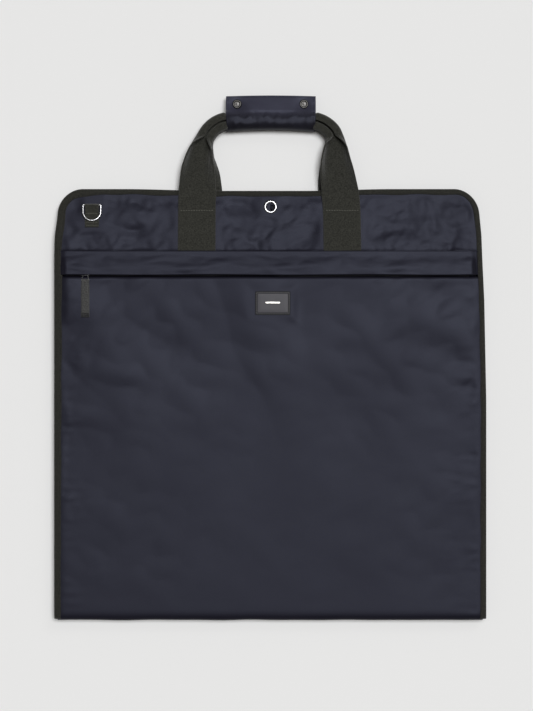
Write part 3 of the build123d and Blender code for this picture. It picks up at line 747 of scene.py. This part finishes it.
def outline_path():
    """The bag's outer edge from the left end of the fold, round the top, to its right end."""
    turn = np.linspace(0, PI / 2, 30)
    left = [(-HALF_W, h) for h in np.linspace(FOLD_GAP + 1.7, TOP - CORNER_R, 260)]
    dip, lean = CORNER_R * (1 - np.sin(turn[1:])), CORNER_R * (1 - np.cos(turn[1:]))
    half = np.array(left + list(zip(lean - HALF_W, TOP - dip)))
    top = [(x, TOP) for x in np.linspace(-HALF_W + CORNER_R, HALF_W - CORNER_R, 210)[1:-1]]
    other = half[::-1] * (-1, 1)
    return np.concatenate([half, top, other])


def taped_edge(side):
    """Grosgrain tape folded over the edge of one half, with its row of stitches."""
    name = NAME[side]
    edge = outline_path()
    along = unit(np.gradient(edge, axis=0))
    inward = np.stack([along[:, 1], -along[:, 0]], 1)
    gaps = distances(edge)
    wander = 0.5 * waves(gaps, 0 * gaps, 131 + side, 60, along=0.0, spread=0.0)
    lower = np.clip(edge[:, 1] / 450, 0, 1)
    sides = np.where(edge[:, 0] < 0, 9.4 + 1.6 * lower, 8.4 - 1.0 * lower)
    on_top = smooth((HALF_W - 25 - np.abs(edge[:, 0])) / 40)
    width = sides * (1 - on_top) + 7.4 * on_top + wander * 0.7
    ripple = 0.16 * waves(gaps, 0 * gaps, 141 + side, 14, along=0.0, spread=0.0)
    inner = INNER[side]
    deepest = FRONT_DEPTH if side > 0 else BACK_IN - 1.4

    def top_at(inset):
        spot = edge + inward * np.asarray(inset)[:, None]
        return np.clip(crown(side, spot[:, 0], spot[:, 1]), 1.7, deepest)

    full = np.ones(len(edge))
    rows = [
        (width, top_at(width) - 1.6),
        (width, top_at(width) + 0.35 + ripple),
        (width - 0.5, top_at(width - 0.5) + 0.62 + ripple),
        (width * 0.72, top_at(width * 0.72) + 0.75 + ripple),
        (width * 0.45, top_at(width * 0.45) + 0.7 + ripple * 0.5),
        (2.3 * full, top_at(2.3 * full) + 0.45),
        (1.1 * full, top_at(1.1 * full) * 0.97 + 0.05),
        (0.35 * full, top_at(0.5 * full) * 0.82),
        (0.05 * full, top_at(0.2 * full) * 0.5 + 0.1),
        (0.35 * full, 0.75 * full),
        (1.1 * full, 0.25 * full),
        (2.3 * full, 0.05 * full),
        (width * 0.6, 0.0 * full),
        (width - 0.4, 0.0 * full),
        (width - 0.1, 0.3 * full),
    ]
    spots = [edge + inward * inset[:, None] for inset, _ in rows]
    points = np.stack([at(s[:, 0], s[:, 1], inner + side * z) for s, (_, z) in zip(spots, rows)], 1)
    steps = np.linalg.norm(np.diff(points, axis=1), axis=2).mean(0)
    across = np.concatenate([[0], np.cumsum(steps)])
    uv = pair(across[None, :], gaps[:, None])
    made = tube(f"{name}_edge_tape", settle(points), uv, EDGE, side > 0)
    put(made, f"{name}_half", "edge_tape", f"{name}_binding")
    inset = width - 1.7
    spot = edge + inward * inset[:, None]
    z = inner + side * (top_at(inset) + 0.72 + ripple)
    row = settle(at(spot[:, 0], spot[:, 1], z))[6:-6]
    made = stitches(f"{name}_edge_stitches", row, (0, 0, side), DARK_THREAD, 2.9, 2.1, 0.45, 0.25)
    put(made, f"{name}_half", "edge_tape")


# ---- Handles ----

WEB_W = 50.0
WEB_T = 1.8
ANCHOR_LOW = cad("front_handle_anchor_left")[0][1] - FOLD_Y
ANCHOR_TOP = 545.6
HINGE_H = joint_at("front_handle_hinge")[1] - FOLD_Y
HANDLE_MID = 13.7
SPINE_LIFT = 1.7  # the gathered webbing's spine above the level between the handles


def fold_section(fold, count=41):
    """Middle line of the webbing's section: flat at 0, its edges turned in to meet at 1."""
    w = np.linspace(-WEB_W / 2, WEB_W / 2, count)
    flat, turn = 7.0, 12.25
    bend = np.clip((np.abs(w) - flat) / turn, 0, 1) * PI * fold * 0.98
    step = w[1] - w[0]
    dx, dz = np.cos(bend) * step, np.sin(bend) * step * np.sign(w)
    mid = count // 2
    x = np.concatenate([[0], np.cumsum((dx[1:] + dx[:-1]) / 2)])
    z = np.concatenate([[0], np.cumsum((dz[1:] + dz[:-1]) / 2)])
    x, z = x - x[mid], z - z[mid]
    heading = bend * np.sign(w)
    return w, x, z, -np.sin(heading), np.cos(heading)


# The webbing's outer edge in plan, from the sewn end to the middle of the grip
OUTER_LEFT = [(-124.2, 496), (-124.0, 560), (-122.9, 583), (-120.6, 604), (-117.2, 617.6)]
OUTER_LEFT += [(-111.4, 631), (-104.4, 644.4), (-96.2, 657.9), (-87.4, 668.6), (-76.6, 676.9)]
OUTER_LEFT += [(-62.0, 682.2), (-45.0, 682.8), (0.0, 684.4)]
OUTER_RIGHT = [(121.6, 496), (121.0, 545), (119.6, 570), (117.0, 583), (112.2, 604), (108.0, 617.6)]
OUTER_RIGHT += [(104.4, 631), (101.0, 644.4), (96.0, 657.9), (87.4, 668.6), (76.0, 677.0)]
OUTER_RIGHT += [(61.5, 682.2), (45.0, 682.8), (0.0, 684.4)]


def handle_path(tuck, slim):
    """The webbing's middle line in plan, from its left sewn end to the right one, how far it is folded
    and how tightly it is squeezed. tuck moves its two legs in behind those of the other handle."""
    folds = np.linspace(0, 1, 41)
    widths = np.array([np.abs(fold_section(k)[1]).max() + 0.9 * math.sin(PI * k / 2) for k in folds])
    legs = []
    for outer, sign, inset in ((OUTER_LEFT, 1, tuck[0]), (OUTER_RIGHT, -1, tuck[1])):
        line = np.array(outer, float)
        line[:, 0] += sign * inset * (1 - smooth((line[:, 1] - 590) / 70))
        line, _ = resample(np.column_stack([line, np.zeros(len(line))]), 1.6)
        x, h = smoothed(line[:, 0], 30), smoothed(line[:, 1], 30)
        half = np.interp(h, [575, 600, 617, 631, 644, 654, 664], [25, 23.4, 21.2, 17.6, 14.2, 12.0, 10.9])
        half = smoothed(half, 10) * (1 - slim * np.exp(-(((h - 622) / 22) ** 2)))
        along = unit(np.gradient(np.stack([x, h], 1), axis=0))
        inward = np.stack([along[:, 1], -along[:, 0]], 1) * sign
        centre = np.stack([x, h], 1) + inward * half[:, None]
        fold = np.interp(half, widths[::-1], folds[::-1]) * smooth((h - 566) / 24)
        legs.append(np.column_stack([centre, fold]))
    whole = np.concatenate([legs[0], legs[1][::-1][1:]])
    squeeze = 1 - 0.27 * (1 - smooth((np.abs(whole[:, 0]) - 57) / 4)) * (whole[:, 1] > 640)
    return whole[:, :2], whole[:, 2], squeeze


def handle_webbing(side, tuck, slim=0.0):
    """Webbing sewn to the yoke, bent over its top and gathered into the grip."""
    name = NAME[side]
    plan, fold, squeeze = handle_path(tuck, slim)
    h = plan[:, 1]
    on_yoke = INNER[side] + side * (depth(side, np.minimum(h, HINGE_H)) + 0.1 + WEB_T / 2)
    grip_level = HANDLE_MID + side * SPINE_LIFT
    gather = smooth((h - HINGE_H) / 95.0)
    z = on_yoke * (1 - gather) + grip_level * gather
    if side < 0:
        reach = np.array([(fold_section(k)[2] * q).max() for k, q in zip(fold, squeeze)])
        z = smoothed(np.maximum(z, reach + WEB_T / 2 + 0.7), 20)
    middle = at(plan[:, 0], h, z)
    along = unit(np.gradient(middle, axis=0))
    across = unit(np.cross(along, (0, 0, 1)))
    out = np.cross(across, along) * side
    gaps = distances(middle)
    sections, maps = [], []
    wobble = 0.35 * waves(gaps, 0 * gaps, 151 + side, 45, along=0.0, spread=0.0)
    for i, k in enumerate(fold):
        w, sx, sz, nx, nz = fold_section(k)
        sx, sz = sx * squeeze[i], sz * squeeze[i]
        loose = smooth((h[i] - ANCHOR_TOP) / 30.0)
        sz = sz + 0.5 * loose * wobble[i] * np.sin(w / 9.0 + 0.05 * gaps[i])
        face, under = (
            middle[i] + across[i] * (sx + nx * half)[:, None] + out[i] * (sz + nz * half)[:, None]
            for half in (WEB_T / 2, -WEB_T / 2)
        )
        edge_a = (face[-1] + under[-1]) / 2 + across[i] * 0.25 * math.cos(PI * k)
        edge_b = (face[0] + under[0]) / 2 - across[i] * 0.25 * math.cos(PI * k)
        sections.append(np.concatenate([face, [edge_a], under[::-1], [edge_b]]))
        line = np.concatenate([w, [w[-1] + 0.9], w[::-1], [w[0] - 0.9]])
        maps.append(np.stack([line + 30, 0 * line + gaps[i]], 1))
    made = tube(f"{name}_handle_web", np.array(sections), np.array(maps), WEBBING, side > 0)
    nodes = [f"{name}_handle_webbing", f"{name}_handle_anchor_left", f"{name}_handle_anchor_right"]
    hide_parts(*nodes)
    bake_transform(made)
    for word, x in (("left", plan[4, 0]), ("right", plan[-5, 0])):
        box_stitches(side, name, word, x)


def box_stitches(side, name, word, x):
    """A sewn box with a cross in it, on a handle's anchor."""
    wide, low, high = WEB_W / 2 - 2.6, ANCHOR_LOW + 2.4, ANCHOR_TOP + 4.6
    corners = [(x - wide, low), (x + wide, low), (x + wide, high - 6), (x - wide, high - 6)]
    lines = [(corners[i], corners[(i + 1) % 4]) for i in range(4)]
    lines += [(corners[0], corners[2]), (corners[1], corners[3]), ((x - wide, high), (x + wide, high))]
    rows = []
    for i, (a, b) in enumerate(lines):
        t = np.linspace(0, 1, 20)
        px, ph = a[0] + (b[0] - a[0]) * t, a[1] + (b[1] - a[1]) * t
        z = INNER[side] + side * (depth(side, ph) + WEB_T + 0.14)
        finish = OLIVE_THREAD if i == len(lines) - 1 else OLIVE_DIM
        rows.append((at(px, ph, z), (0, 0, side), finish, 3.5, 2.0, 0.8, 0.34))
    sewn(f"{name}_{word}_anchor_stitches", f"{name}_half", "webbing", rows)


# ---- Wrap round the grips ----

WRAP_LOW = cad("wrap_front_leaf")[0][1] - FOLD_Y
WRAP_TOP = cad("wrap_front_leaf")[1][1] - FOLD_Y
WRAP_HALF = cad("wrap_front_leaf")[1][0]
GRIP_TOP = 682.0
GRIP_GAP = 0.6
LEAF_Z = cad("wrap_front_leaf")[1][2] - HANDLE_MID
FLAP_Z = 2.8
CAP_R = 6.4
STUD_X = cad("snap_caps")[1][0] - CAP_R
STUD_H = cad("snap_caps")[1][1] - CAP_R - FOLD_Y


def leaf_line():
    """A leaf's section, up the palm side of its grip, over it, and out to the snapped flap: its heights,
    its levels from the middle between the handles, and the length along it."""
    turn = np.linspace(0.97 * PI, 0.28 * PI, 24)
    corners = [(WRAP_LOW + 12.8 + 14.4 * math.cos(a), LEAF_Z * math.sin(a)) for a in turn]
    corners += [(GRIP_TOP + a, FLAP_Z + b) for a, b in ((3.2, 2.6), (5.2, 0.4), (8.0, 0.1))]
    corners += [(WRAP_TOP + 2.0, FLAP_Z)]
    line, run = resample(np.array([(0.0, h, z) for h, z in corners]), 0.8)
    return smoothed(line[:, 1], 8)[:, None], smoothed(line[:, 2], 8)[:, None], run


def leaf(side, name, body):
    """One side of the wrap, puckered on its palm side and flat between the snaps."""
    line_h, line_z, run = leaf_line()
    t = run / run[-1]
    u = np.linspace(-1, 1, 121)[None, :]
    palm = smooth((0.45 - t) / 0.3)[:, None]
    gather = np.exp(-(((t - 0.47) / 0.13) ** 2))[:, None]
    arch = 2.2 * np.clip(1 - u**2, 0, 1) * (1 - smooth(t / 0.5))[:, None]
    top_arch = -1.1 * u**2 * smooth((t - 0.75) / 0.25)[:, None]
    narrow = 1.1 * (palm + 0.3)
    x = u * (WRAP_HALF + 0.6 - narrow * 0.9) + 0.5 + 0 * t[:, None]
    h = line_h + arch + top_arch
    pucker = waves(x, h * 0.12, 161 + side, 13, along=0.0, spread=0.25)
    ridges = creases(waves(x, h * 0.2, 171 + side, 15, along=0.3, spread=0.3), 0.35)
    soft = waves(x, h, 181 + side, 34, along=0.8)
    flap = smooth((t - 0.8) / 0.1)[:, None]
    stud = np.exp(-(((np.abs(x) - STUD_X) ** 2 + (h - STUD_H) ** 2) / 90.0))
    bunch = facets(x, h * 0.7, 191 + side, 17, 0.4, 0.8)
    relief = 0.4 * palm * pucker + 0.5 * palm * ridges + 0.3 * soft * (1 - flap * 0.6)
    relief = relief + 0.6 * gather * bunch
    held = np.exp(-(((np.abs(x) - STUD_X) / 10.0) ** 2))
    fall = np.clip((h - GRIP_TOP + 6) / (WRAP_TOP - GRIP_TOP + 8), 0, 1)
    lazy = LEAF_Z - 0.9 - (LEAF_Z - FLAP_Z - 1.4) * fall
    z = line_z + (1 - held) * np.maximum(lazy - line_z, 0) * smooth((t - 0.45) / 0.2)[:, None]
    z = z + (relief - 0.5) * (1 - stud * flap)
    z = np.maximum(z, np.where(flap > 0.5, FLAP_Z - 0.9, GRIP_GAP))
    z = z - np.log1p(np.exp((z - LEAF_Z + 0.7) * 3)) / 3
    sag = 0.8 * (1 - smooth((1 - np.abs(u)) / 0.12)) * (1 - flap)
    points = at(x, h, HANDLE_MID + side * (z - sag))
    uv = pair(x, run[:, None])
    if side < 0:
        points, uv = points[:, ::-1], uv[:, ::-1]
    made = cloth(f"{name}_cloth", points, uv, WRAP, 1.0)
    sheet(made, body, "wrap_nylon", name)
    edge_row = np.abs(t - (1 - 2.6 / run[-1])).argmin()
    grid = at(x, h, HANDLE_MID + side * (z - sag + 0.12))
    size = DARK_THREAD, 2.8, 2.0, 0.45, 0.25
    rows = [(grid[edge_row, 3:-3], (0, 0, side), *size)]
    for col in (3, -4):
        path = grid[8:edge_row, col]
        tangent = np.gradient(resample(path, 2.8)[0], axis=0)[:-1]
        rows.append((path, unit(np.cross((1.0, 0.0, 0.0), tangent)), *size))
    sewn(f"{name}_stitches", body, "wrap_nylon", rows)


# ---- Small parts: ring tabs, patch, pull tab, zips ----


def ring_tab(side):
    """The loop of webbing round a D-ring's bar, and its tail sewn to the yoke."""
    name, inner = NAME[side], INNER[side]
    low, high = cad(f"{name}_d_ring_tab")
    bar = cad(f"{name}_d_ring")[1][1] - FOLD_Y - 1.5
    mid = (low[0] + high[0]) / 2
    face_at = inner + side * depth(side, bar)
    loop_top = high[2] if side > 0 else low[2]
    lift = abs(loop_top - face_at)
    tail = low[1] - FOLD_Y
    turn = np.linspace(PI * 0.42, -PI / 2 + 0.1, 18)
    radius = lift / 2 - 0.15
    path = [(tail + 0.2, 1.0), (tail + 0.6, 1.9), (tail + 8, 2.3), (bar - 9, 2.5), (bar - 5.5, lift * 0.62)]
    path += [(bar - 1.2 + radius * math.cos(a), lift / 2 + radius * math.sin(a)) for a in turn]
    line, run = resample(np.array([(0.0, a, b) for a, b in path]), 0.7)
    line = np.stack([line[:, 0], smoothed(line[:, 1], 3), smoothed(line[:, 2], 3)], 1)
    u = np.linspace(-1, 1, 29)[None, :]
    half = (high[0] - low[0]) / 2 - 0.3
    edge = 1 - 0.02 * np.cos(run / 4.0)[:, None]
    x = mid + u * half * edge
    h = line[:, 1][:, None] + 0 * u
    ends = [SEAM, TOP], [depth(side, SEAM), depth(side, TOP)]
    face = inner + side * np.interp(h, *ends)
    z = face + side * (line[:, 2][:, None] - 0.25 * np.abs(u) ** 6)
    points = at(x, h, z)
    uv = pair(x + 300, run[:, None])
    if side < 0:
        points, uv = points[:, ::-1], uv[:, ::-1]
    made = cloth(f"{name}_tab_web", points, uv, WEBBING, 1.5)
    put(made, f"{name}_half", "webbing", f"{name}_d_ring_tab")
    rows = []
    px = np.linspace(mid - half + 1.6, mid + half - 1.6, 20)
    for up in (1, 5.2, 17):
        ph = tail + 1.8 + up + 0 * px
        level = inner + side * (np.interp(ph, *ends) + 2.42)
        rows.append((at(px, ph, level), (0, 0, side), OLIVE_THREAD, 2.2, 1.6, 0.6, 0.32))
    sewn(f"{name}_tab_stitches", f"{name}_half", "webbing", rows)


def rounded_slab(name, low, high, radius, material):
    """A slab with round corners, a soft edge and a slightly dished face."""
    mid = (low + high) / 2
    half = (high - low)[:2] / 2
    ring = []
    for sx, sy, start in ((1, 1, 0), (-1, 1, 1), (-1, -1, 2), (1, -1, 3)):
        for a in np.linspace(0, PI / 2, 9)[:-1] + start * PI / 2:
            ring.append((sx, sy, math.cos(a), math.sin(a)))
    ring = np.array(ring)

    def level(inset, z):
        r = max(radius - inset, 0.25)
        x = mid[0] + ring[:, 0] * (half[0] - inset - r) + r * ring[:, 2]
        y = mid[1] + ring[:, 1] * (half[1] - inset - r) + r * ring[:, 3]
        return np.stack([x, y, np.full(len(x), z)], 1)

    top = high[2]
    soft = min(0.5, (high[2] - low[2]) * 0.6)
    steps = [(soft * 0.4, low[2]), (0.0, low[2] + soft * 0.3), (0.0, top - soft * 0.6)]
    steps += [(soft * 0.3, top - soft * 0.15), (soft, top)]
    steps += [(min(half) * 0.5, top), (min(half) * 0.95, top - 0.02)]
    rows = np.array([level(*s) for s in steps])
    return tube(name, rows, rows[..., :2], material)


def patch():
    """The leather patch: a sewn border, a raised face, and a small plain bar of foil."""
    low, high = cad("leather_patch")
    mid = (low + high) / 2
    top = high[2]
    base = rounded_slab("patch_border", low, high - (0, 0, 0.15), 2.2, PATCH_DARK)
    put(base, "front_half", "patch_leather", "leather_patch")
    face_low = np.array([low[0] + 3.0, low[1] + 3.0, top - 0.5])
    face_high = np.array([high[0] - 3.0, high[1] - 3.0, top + 0.15])
    put(rounded_slab("patch_face", face_low, face_high, 1.2, PATCH), "front_half", "patch_leather")
    bar_low = np.array([mid[0] - 9.6, mid[1] - 0.2, top])
    bar_high = np.array([mid[0] + 9.6, mid[1] + 1.6, top + 0.24])
    put(rounded_slab("patch_foil_bar", bar_low, bar_high, 0.6, FOIL), "front_half", "patch_leather")
    a, b = low + 1.6, high - 1.6
    loop = np.array([(a[0], a[1], 0), (b[0], a[1], 0), (b[0], b[1], 0), (a[0], b[1], 0), (a[0], a[1], 0)])
    loop[:, 2] = top - 0.05
    rows = [(loop[i : i + 2], (0, 0, 1), GREY_THREAD, 3.1, 1.9, 0.95, 0.4) for i in range(4)]
    sewn("patch_stitches", "front_half", "patch_leather", rows)


def turned_part(name, middle, profile, material, around=48):
    """A round part turned from its profile of (radius, level)."""
    profile = np.array(profile, float)
    turn = np.arange(around) * 2 * PI / around
    ring = np.stack([np.cos(turn), np.sin(turn)], 1)
    rows = np.zeros((len(profile), around, 3))
    rows[..., :2] = profile[:, 0][:, None, None] * ring + np.asarray(middle)[:2]
    rows[..., 2] = profile[:, 1][:, None]
    return tube(name, rows, rows[..., :2], material, caps=False)


def eyelet_rim():
    """The eyelet's rolled rim on the front."""
    low, high = cad("eyelet_flange")
    mid = (low + high) / 2
    bore, reach = 5.5, (high[0] - low[0]) / 2
    face = high[2]
    roll = (reach - bore) / 2
    turn = np.linspace(-0.25 * PI, 1.12 * PI, 26)
    profile = [(bore + roll + roll * math.cos(a), face - 0.9 + 1.1 * math.sin(a)) for a in turn]
    profile += [(bore, face - 1.6), (bore, low[2]), (bore + 0.5, low[2]), (bore + 0.5, face - 2.0)]
    profile += [profile[0]]
    made = turned_part("eyelet_rim", mid, profile, CHROME)
    put(made, "front_half", "bright_metal", "eyelet_flange")


def snap_caps():
    """The snaps' domed caps, each with a pressed ring and a small raised middle."""
    low, high = cad("snap_caps")
    r = (high[1] - low[1]) / 2
    shape = [(0.02, 0.55), (1.2, 0.5), (2.2, 0.3), (3.0, 0.22), (3.6, 0.4), (4.1, 0.8), (4.6, 1.0)]
    shape += [(5.2, 0.9), (5.8, 0.55), (6.2, 0.1), (6.35, -0.2), (6.2, -0.4), (3.0, -0.5), (0.02, -0.5)]
    tall = high[2] - low[2]
    parts = []
    for k, x in enumerate((low[0] + r, high[0] - r)):
        mid = (x, (low[1] + high[1]) / 2, 0)
        profile = [(a * r / CAP_R, low[2] + tall * (0.35 + 0.62 * b)) for a, b in shape[::-1]]
        parts.append(turned_part(f"cap{k}", mid, profile, NICKEL))
    put(joined("snap_cap_faces", parts), "wrap_flap", "bright_metal", "snap_caps")


def pull_tab():
    """The pocket pull: ribbed tape folded double round the link's bar and sewn near its end."""
    low, high = cad("pocket_pull_tab")
    mid = (low + high) / 2
    bar = high[1] - 3.2
    y = np.linspace(low[1] + 0.3, high[1] + 1.6, 60)
    full = (high[0] - low[0]) / 2
    half = full - 0.5 * smooth((y - bar + 4) / 3.0) - 0.2
    thick = (high[2] - low[2]) / 2
    swell = thick * (0.78 + 0.22 * smooth((y - bar + 5) / 4.0))
    swell = swell * np.sqrt(np.clip(1 - ((y - y[0] - 1.2) / 1.2) ** 2 * (y < y[0] + 1.2) * 0.75, 0, 1))
    swell = swell * np.sqrt(np.clip(1 - ((y - y[-1] + 1.4) / 1.4) ** 2 * (y > y[-1] - 1.4) * 0.8, 0, 1))
    pinch = np.exp(-(((y - low[1] - 6.4) / 0.6) ** 2)) * 0.2
    w = np.concatenate([np.linspace(-1, 1, 13), np.linspace(1, -1, 13)[1:-1]])
    up = np.concatenate([np.ones(13), -np.ones(11)]) * np.sqrt(np.clip(1 - np.abs(w) ** 7, 0.06, 1))
    x = mid[0] + w[None, :] * half[:, None]
    z = mid[2] + up[None, :] * (swell - pinch)[:, None]
    points = np.stack([x, y[:, None] + 0 * x, z], -1)
    made = tube("pull_tape_body", points, points[..., :2], PULL, flip=True)
    put(made, "pocket_tab", "pull_tape", "pocket_pull_tab")
    rows = []
    px = np.linspace(mid[0] - full + 0.7, mid[0] + full - 0.7, 14)
    level = mid[2] + thick * 0.78 + 0.02
    for dy in (0.9, 1.9, 2.9, 3.9, 4.9, 5.9):
        path = np.stack([px, low[1] + dy + 0 * px, level + 0 * px], 1)
        rows.append((path, (0, 0, 1), DARK_THREAD, 1.15, 1.1, 0.75, 0.22))
    sewn("pull_tape_stitches", "pocket_tab", "pull_tape", rows)


def zip_tapes(node, body, axis):
    """The two ribbed tapes that carry a zip's coil. The zip runs along an axis, 0 or 1."""
    low, high = cad(node)
    over = 1 - axis
    length, half = high[axis] - low[axis], (high[over] - low[over]) / 2
    gap = 0.9
    run = np.linspace(low[axis] + 0.2, high[axis] - 0.2, 240)
    strips = []
    for sign in (-1, 1):
        out = (low[over] + high[over]) / 2 + np.sort(sign * np.linspace(gap, half - 0.2, 12))
        if axis == 0:
            x, y = np.meshgrid(run, out)
            along, across = x, y
        else:
            x, y = np.meshgrid(out, run)
            along, across = y, x
        z = high[2] - 0.12 + 0.05 * waves(x, y, 201 + axis, 40)
        if axis == 0:
            z = np.minimum(z, FRONT_IN + crown(1, x, y - FOLD_Y) - 1.7)
        points = np.stack([x, y, z], -1)
        points = settle(points) if axis == 0 else points
        strips.append(cloth(f"{node}_strip", points, pair(across, along), ZIP_TAPE, 0.4))
    sheet(joined(f"{node}_cloth", strips), body, "zip_tape", node)


def teeth(name, node, body, axis, pitch=1.7):
    """Two rows of coil teeth along a zip: small slanted loops of plastic filament."""
    low, high = cad(node)
    mid = (low + high) / 2
    over = 1 - axis
    count = int((high[axis] - low[axis]) / pitch) - 1
    s = low[axis] + (np.arange(count) + 1) * pitch
    middles, axes = [], []
    for sign in (1, -1):
        m = np.zeros((count, 3))
        m[:, axis] = s + (pitch / 2 if sign > 0 else 0.0)
        reach = (high[over] - low[over]) / 2
        m[:, over] = mid[over] + sign * reach * 0.69
        m[:, 2] = mid[2]
        a = np.zeros((count, 3, 3))
        a[:, 0, over] = reach * 0.3
        a[:, 0, axis] = 0.25 * sign
        a[:, 1, axis] = pitch * 0.36
        a[:, 2, 2] = (high[2] - low[2]) / 2 * 0.95
        middles.append(m)
        axes.append(a)
    made = beads(name, np.concatenate(middles), np.concatenate(axes), COIL, 5, 8)
    put(made, body, "zip_coil", node)


# ---- Build the pieces ----

panel_strip()
yoke_cloth(1)
yoke_cloth(-1)
placket()
seam_stitches()
facing()
pocket_lining()
for the_side in (1, -1):
    for the_hand in (-1, 1):
        inner_face(the_side, the_hand)
taped_edge(1)
taped_edge(-1)
handle_webbing(1, (0.0, 0.0))
handle_webbing(-1, (8.0, 4.0), 0.1)
leaf(1, "wrap_front_leaf", "wrap_flap")
leaf(-1, "wrap_back_leaf", "back_handle")
ring_tab(1)
ring_tab(-1)
patch()
pull_tab()
eyelet_rim()
snap_caps()
zip_tapes("pocket_zip_tapes", "front_half", 0)
zip_tapes("main_zip_front_tapes", "front_half", 1)
zip_tapes("main_zip_back_tapes", "back_half", 1)
teeth("pocket_zip_teeth", "pocket_zip_coil", "front_half", 0)
teeth("main_zip_front_teeth", "main_zip_front_coil", "front_half", 1)
teeth("main_zip_back_teeth", "main_zip_back_coil", "back_half", 1)

# ---- Finishes of the nodes that are kept as they are ----

ZIP_METAL = ["pocket_zip_slider", "pocket_pull_link", "pocket_zip_stops"]
ZIP_METAL += ["main_zip_slider", "main_zip_pull", "main_zip_stops"]
KEPT = {
    CHROME: ["eyelet_washer", "front_d_ring", "back_d_ring"],
    NICKEL: ["snap_sockets", "snap_studs", "snap_posts"],
    BLACK_METAL: ZIP_METAL,
}
for finish, names in KEPT.items():
    for node_name in names:
        node_mesh = frame["nodes"][node_name].data
        node_mesh.materials.clear()
        node_mesh.materials.append(finish)

# ---- Floor, light and camera ----

scene = bpy.context.scene
scene.view_settings.view_transform = "Standard"

bpy.ops.mesh.primitive_plane_add(size=12.0, location=(0, 0, 0))
floor = bpy.context.object
floor.name = "floor"
paper = Finish("floor_paper", (0.80, 0.80, 0.795), 0.9, Specular_IOR_Level=0.1)
paper.tint(paper.noise(1.4, 3.0), (0.79, 0.79, 0.785), (0.81, 0.81, 0.805))
floor.data.materials.append(paper.material)

world = scene.world or bpy.data.worlds.new("studio")
scene.world = world
world.use_nodes = True
sky = world.node_tree
where = sky.nodes.new("ShaderNodeTexCoord")
split = sky.nodes.new("ShaderNodeSeparateXYZ")
ramp = sky.nodes.new("ShaderNodeValToRGB")
sky.links.new(where.outputs["Generated"], split.inputs[0])
sky.links.new(split.outputs[2], ramp.inputs[0])
sky.links.new(ramp.outputs[0], sky.nodes["Background"].inputs["Color"])
low_sky, high_sky = ramp.color_ramp.elements
low_sky.position, low_sky.color = 0.1, (0.60, 0.575, 0.535, 1)
high_sky.position, high_sky.color = 0.95, (0.90, 0.865, 0.80, 1)
ramp.color_ramp.elements.new(0.5).color = (0.30, 0.288, 0.268, 1)
sky.nodes["Background"].inputs["Strength"].default_value = 0.26


def sun(name, towards, angle, strength, color=(1, 1, 1)):
    """A distant soft light that shines from a direction."""
    data = bpy.data.lights.new(name, "SUN")
    data.energy = strength
    data.angle = math.radians(angle)
    data.color = color
    obj = bpy.data.objects.new(name, data)
    obj.location = towards
    obj.rotation_euler = Vector(towards).to_track_quat("Z", "Y").to_euler()
    scene.collection.objects.link(obj)


sun("overhead", (0.15, 0.16, 1.0), 24, 2.60, (0.995, 1.0, 1.012))
sun("side", (0.55, 0.8, 0.9), 18, 0.14)

camera_data = bpy.data.cameras.new("camera")
camera = bpy.data.objects.new("camera", camera_data)
scene.collection.objects.link(camera)
PICTURE_H = 711 * 1.3426 * MM  # the picture's longer side, its pixels 1.3426 mm on the bag
CAMERA_UP = 3.0  # from the bag's face
SENSOR = 36.0
camera.location = (-5.4 * MM, 3.2 * MM, CAMERA_UP + 0.025)
camera.rotation_euler = (0, 0, 0)
camera_data.sensor_width = SENSOR
camera_data.lens = SENSOR * CAMERA_UP / PICTURE_H
camera_data.clip_end = 20.0
scene.camera = camera
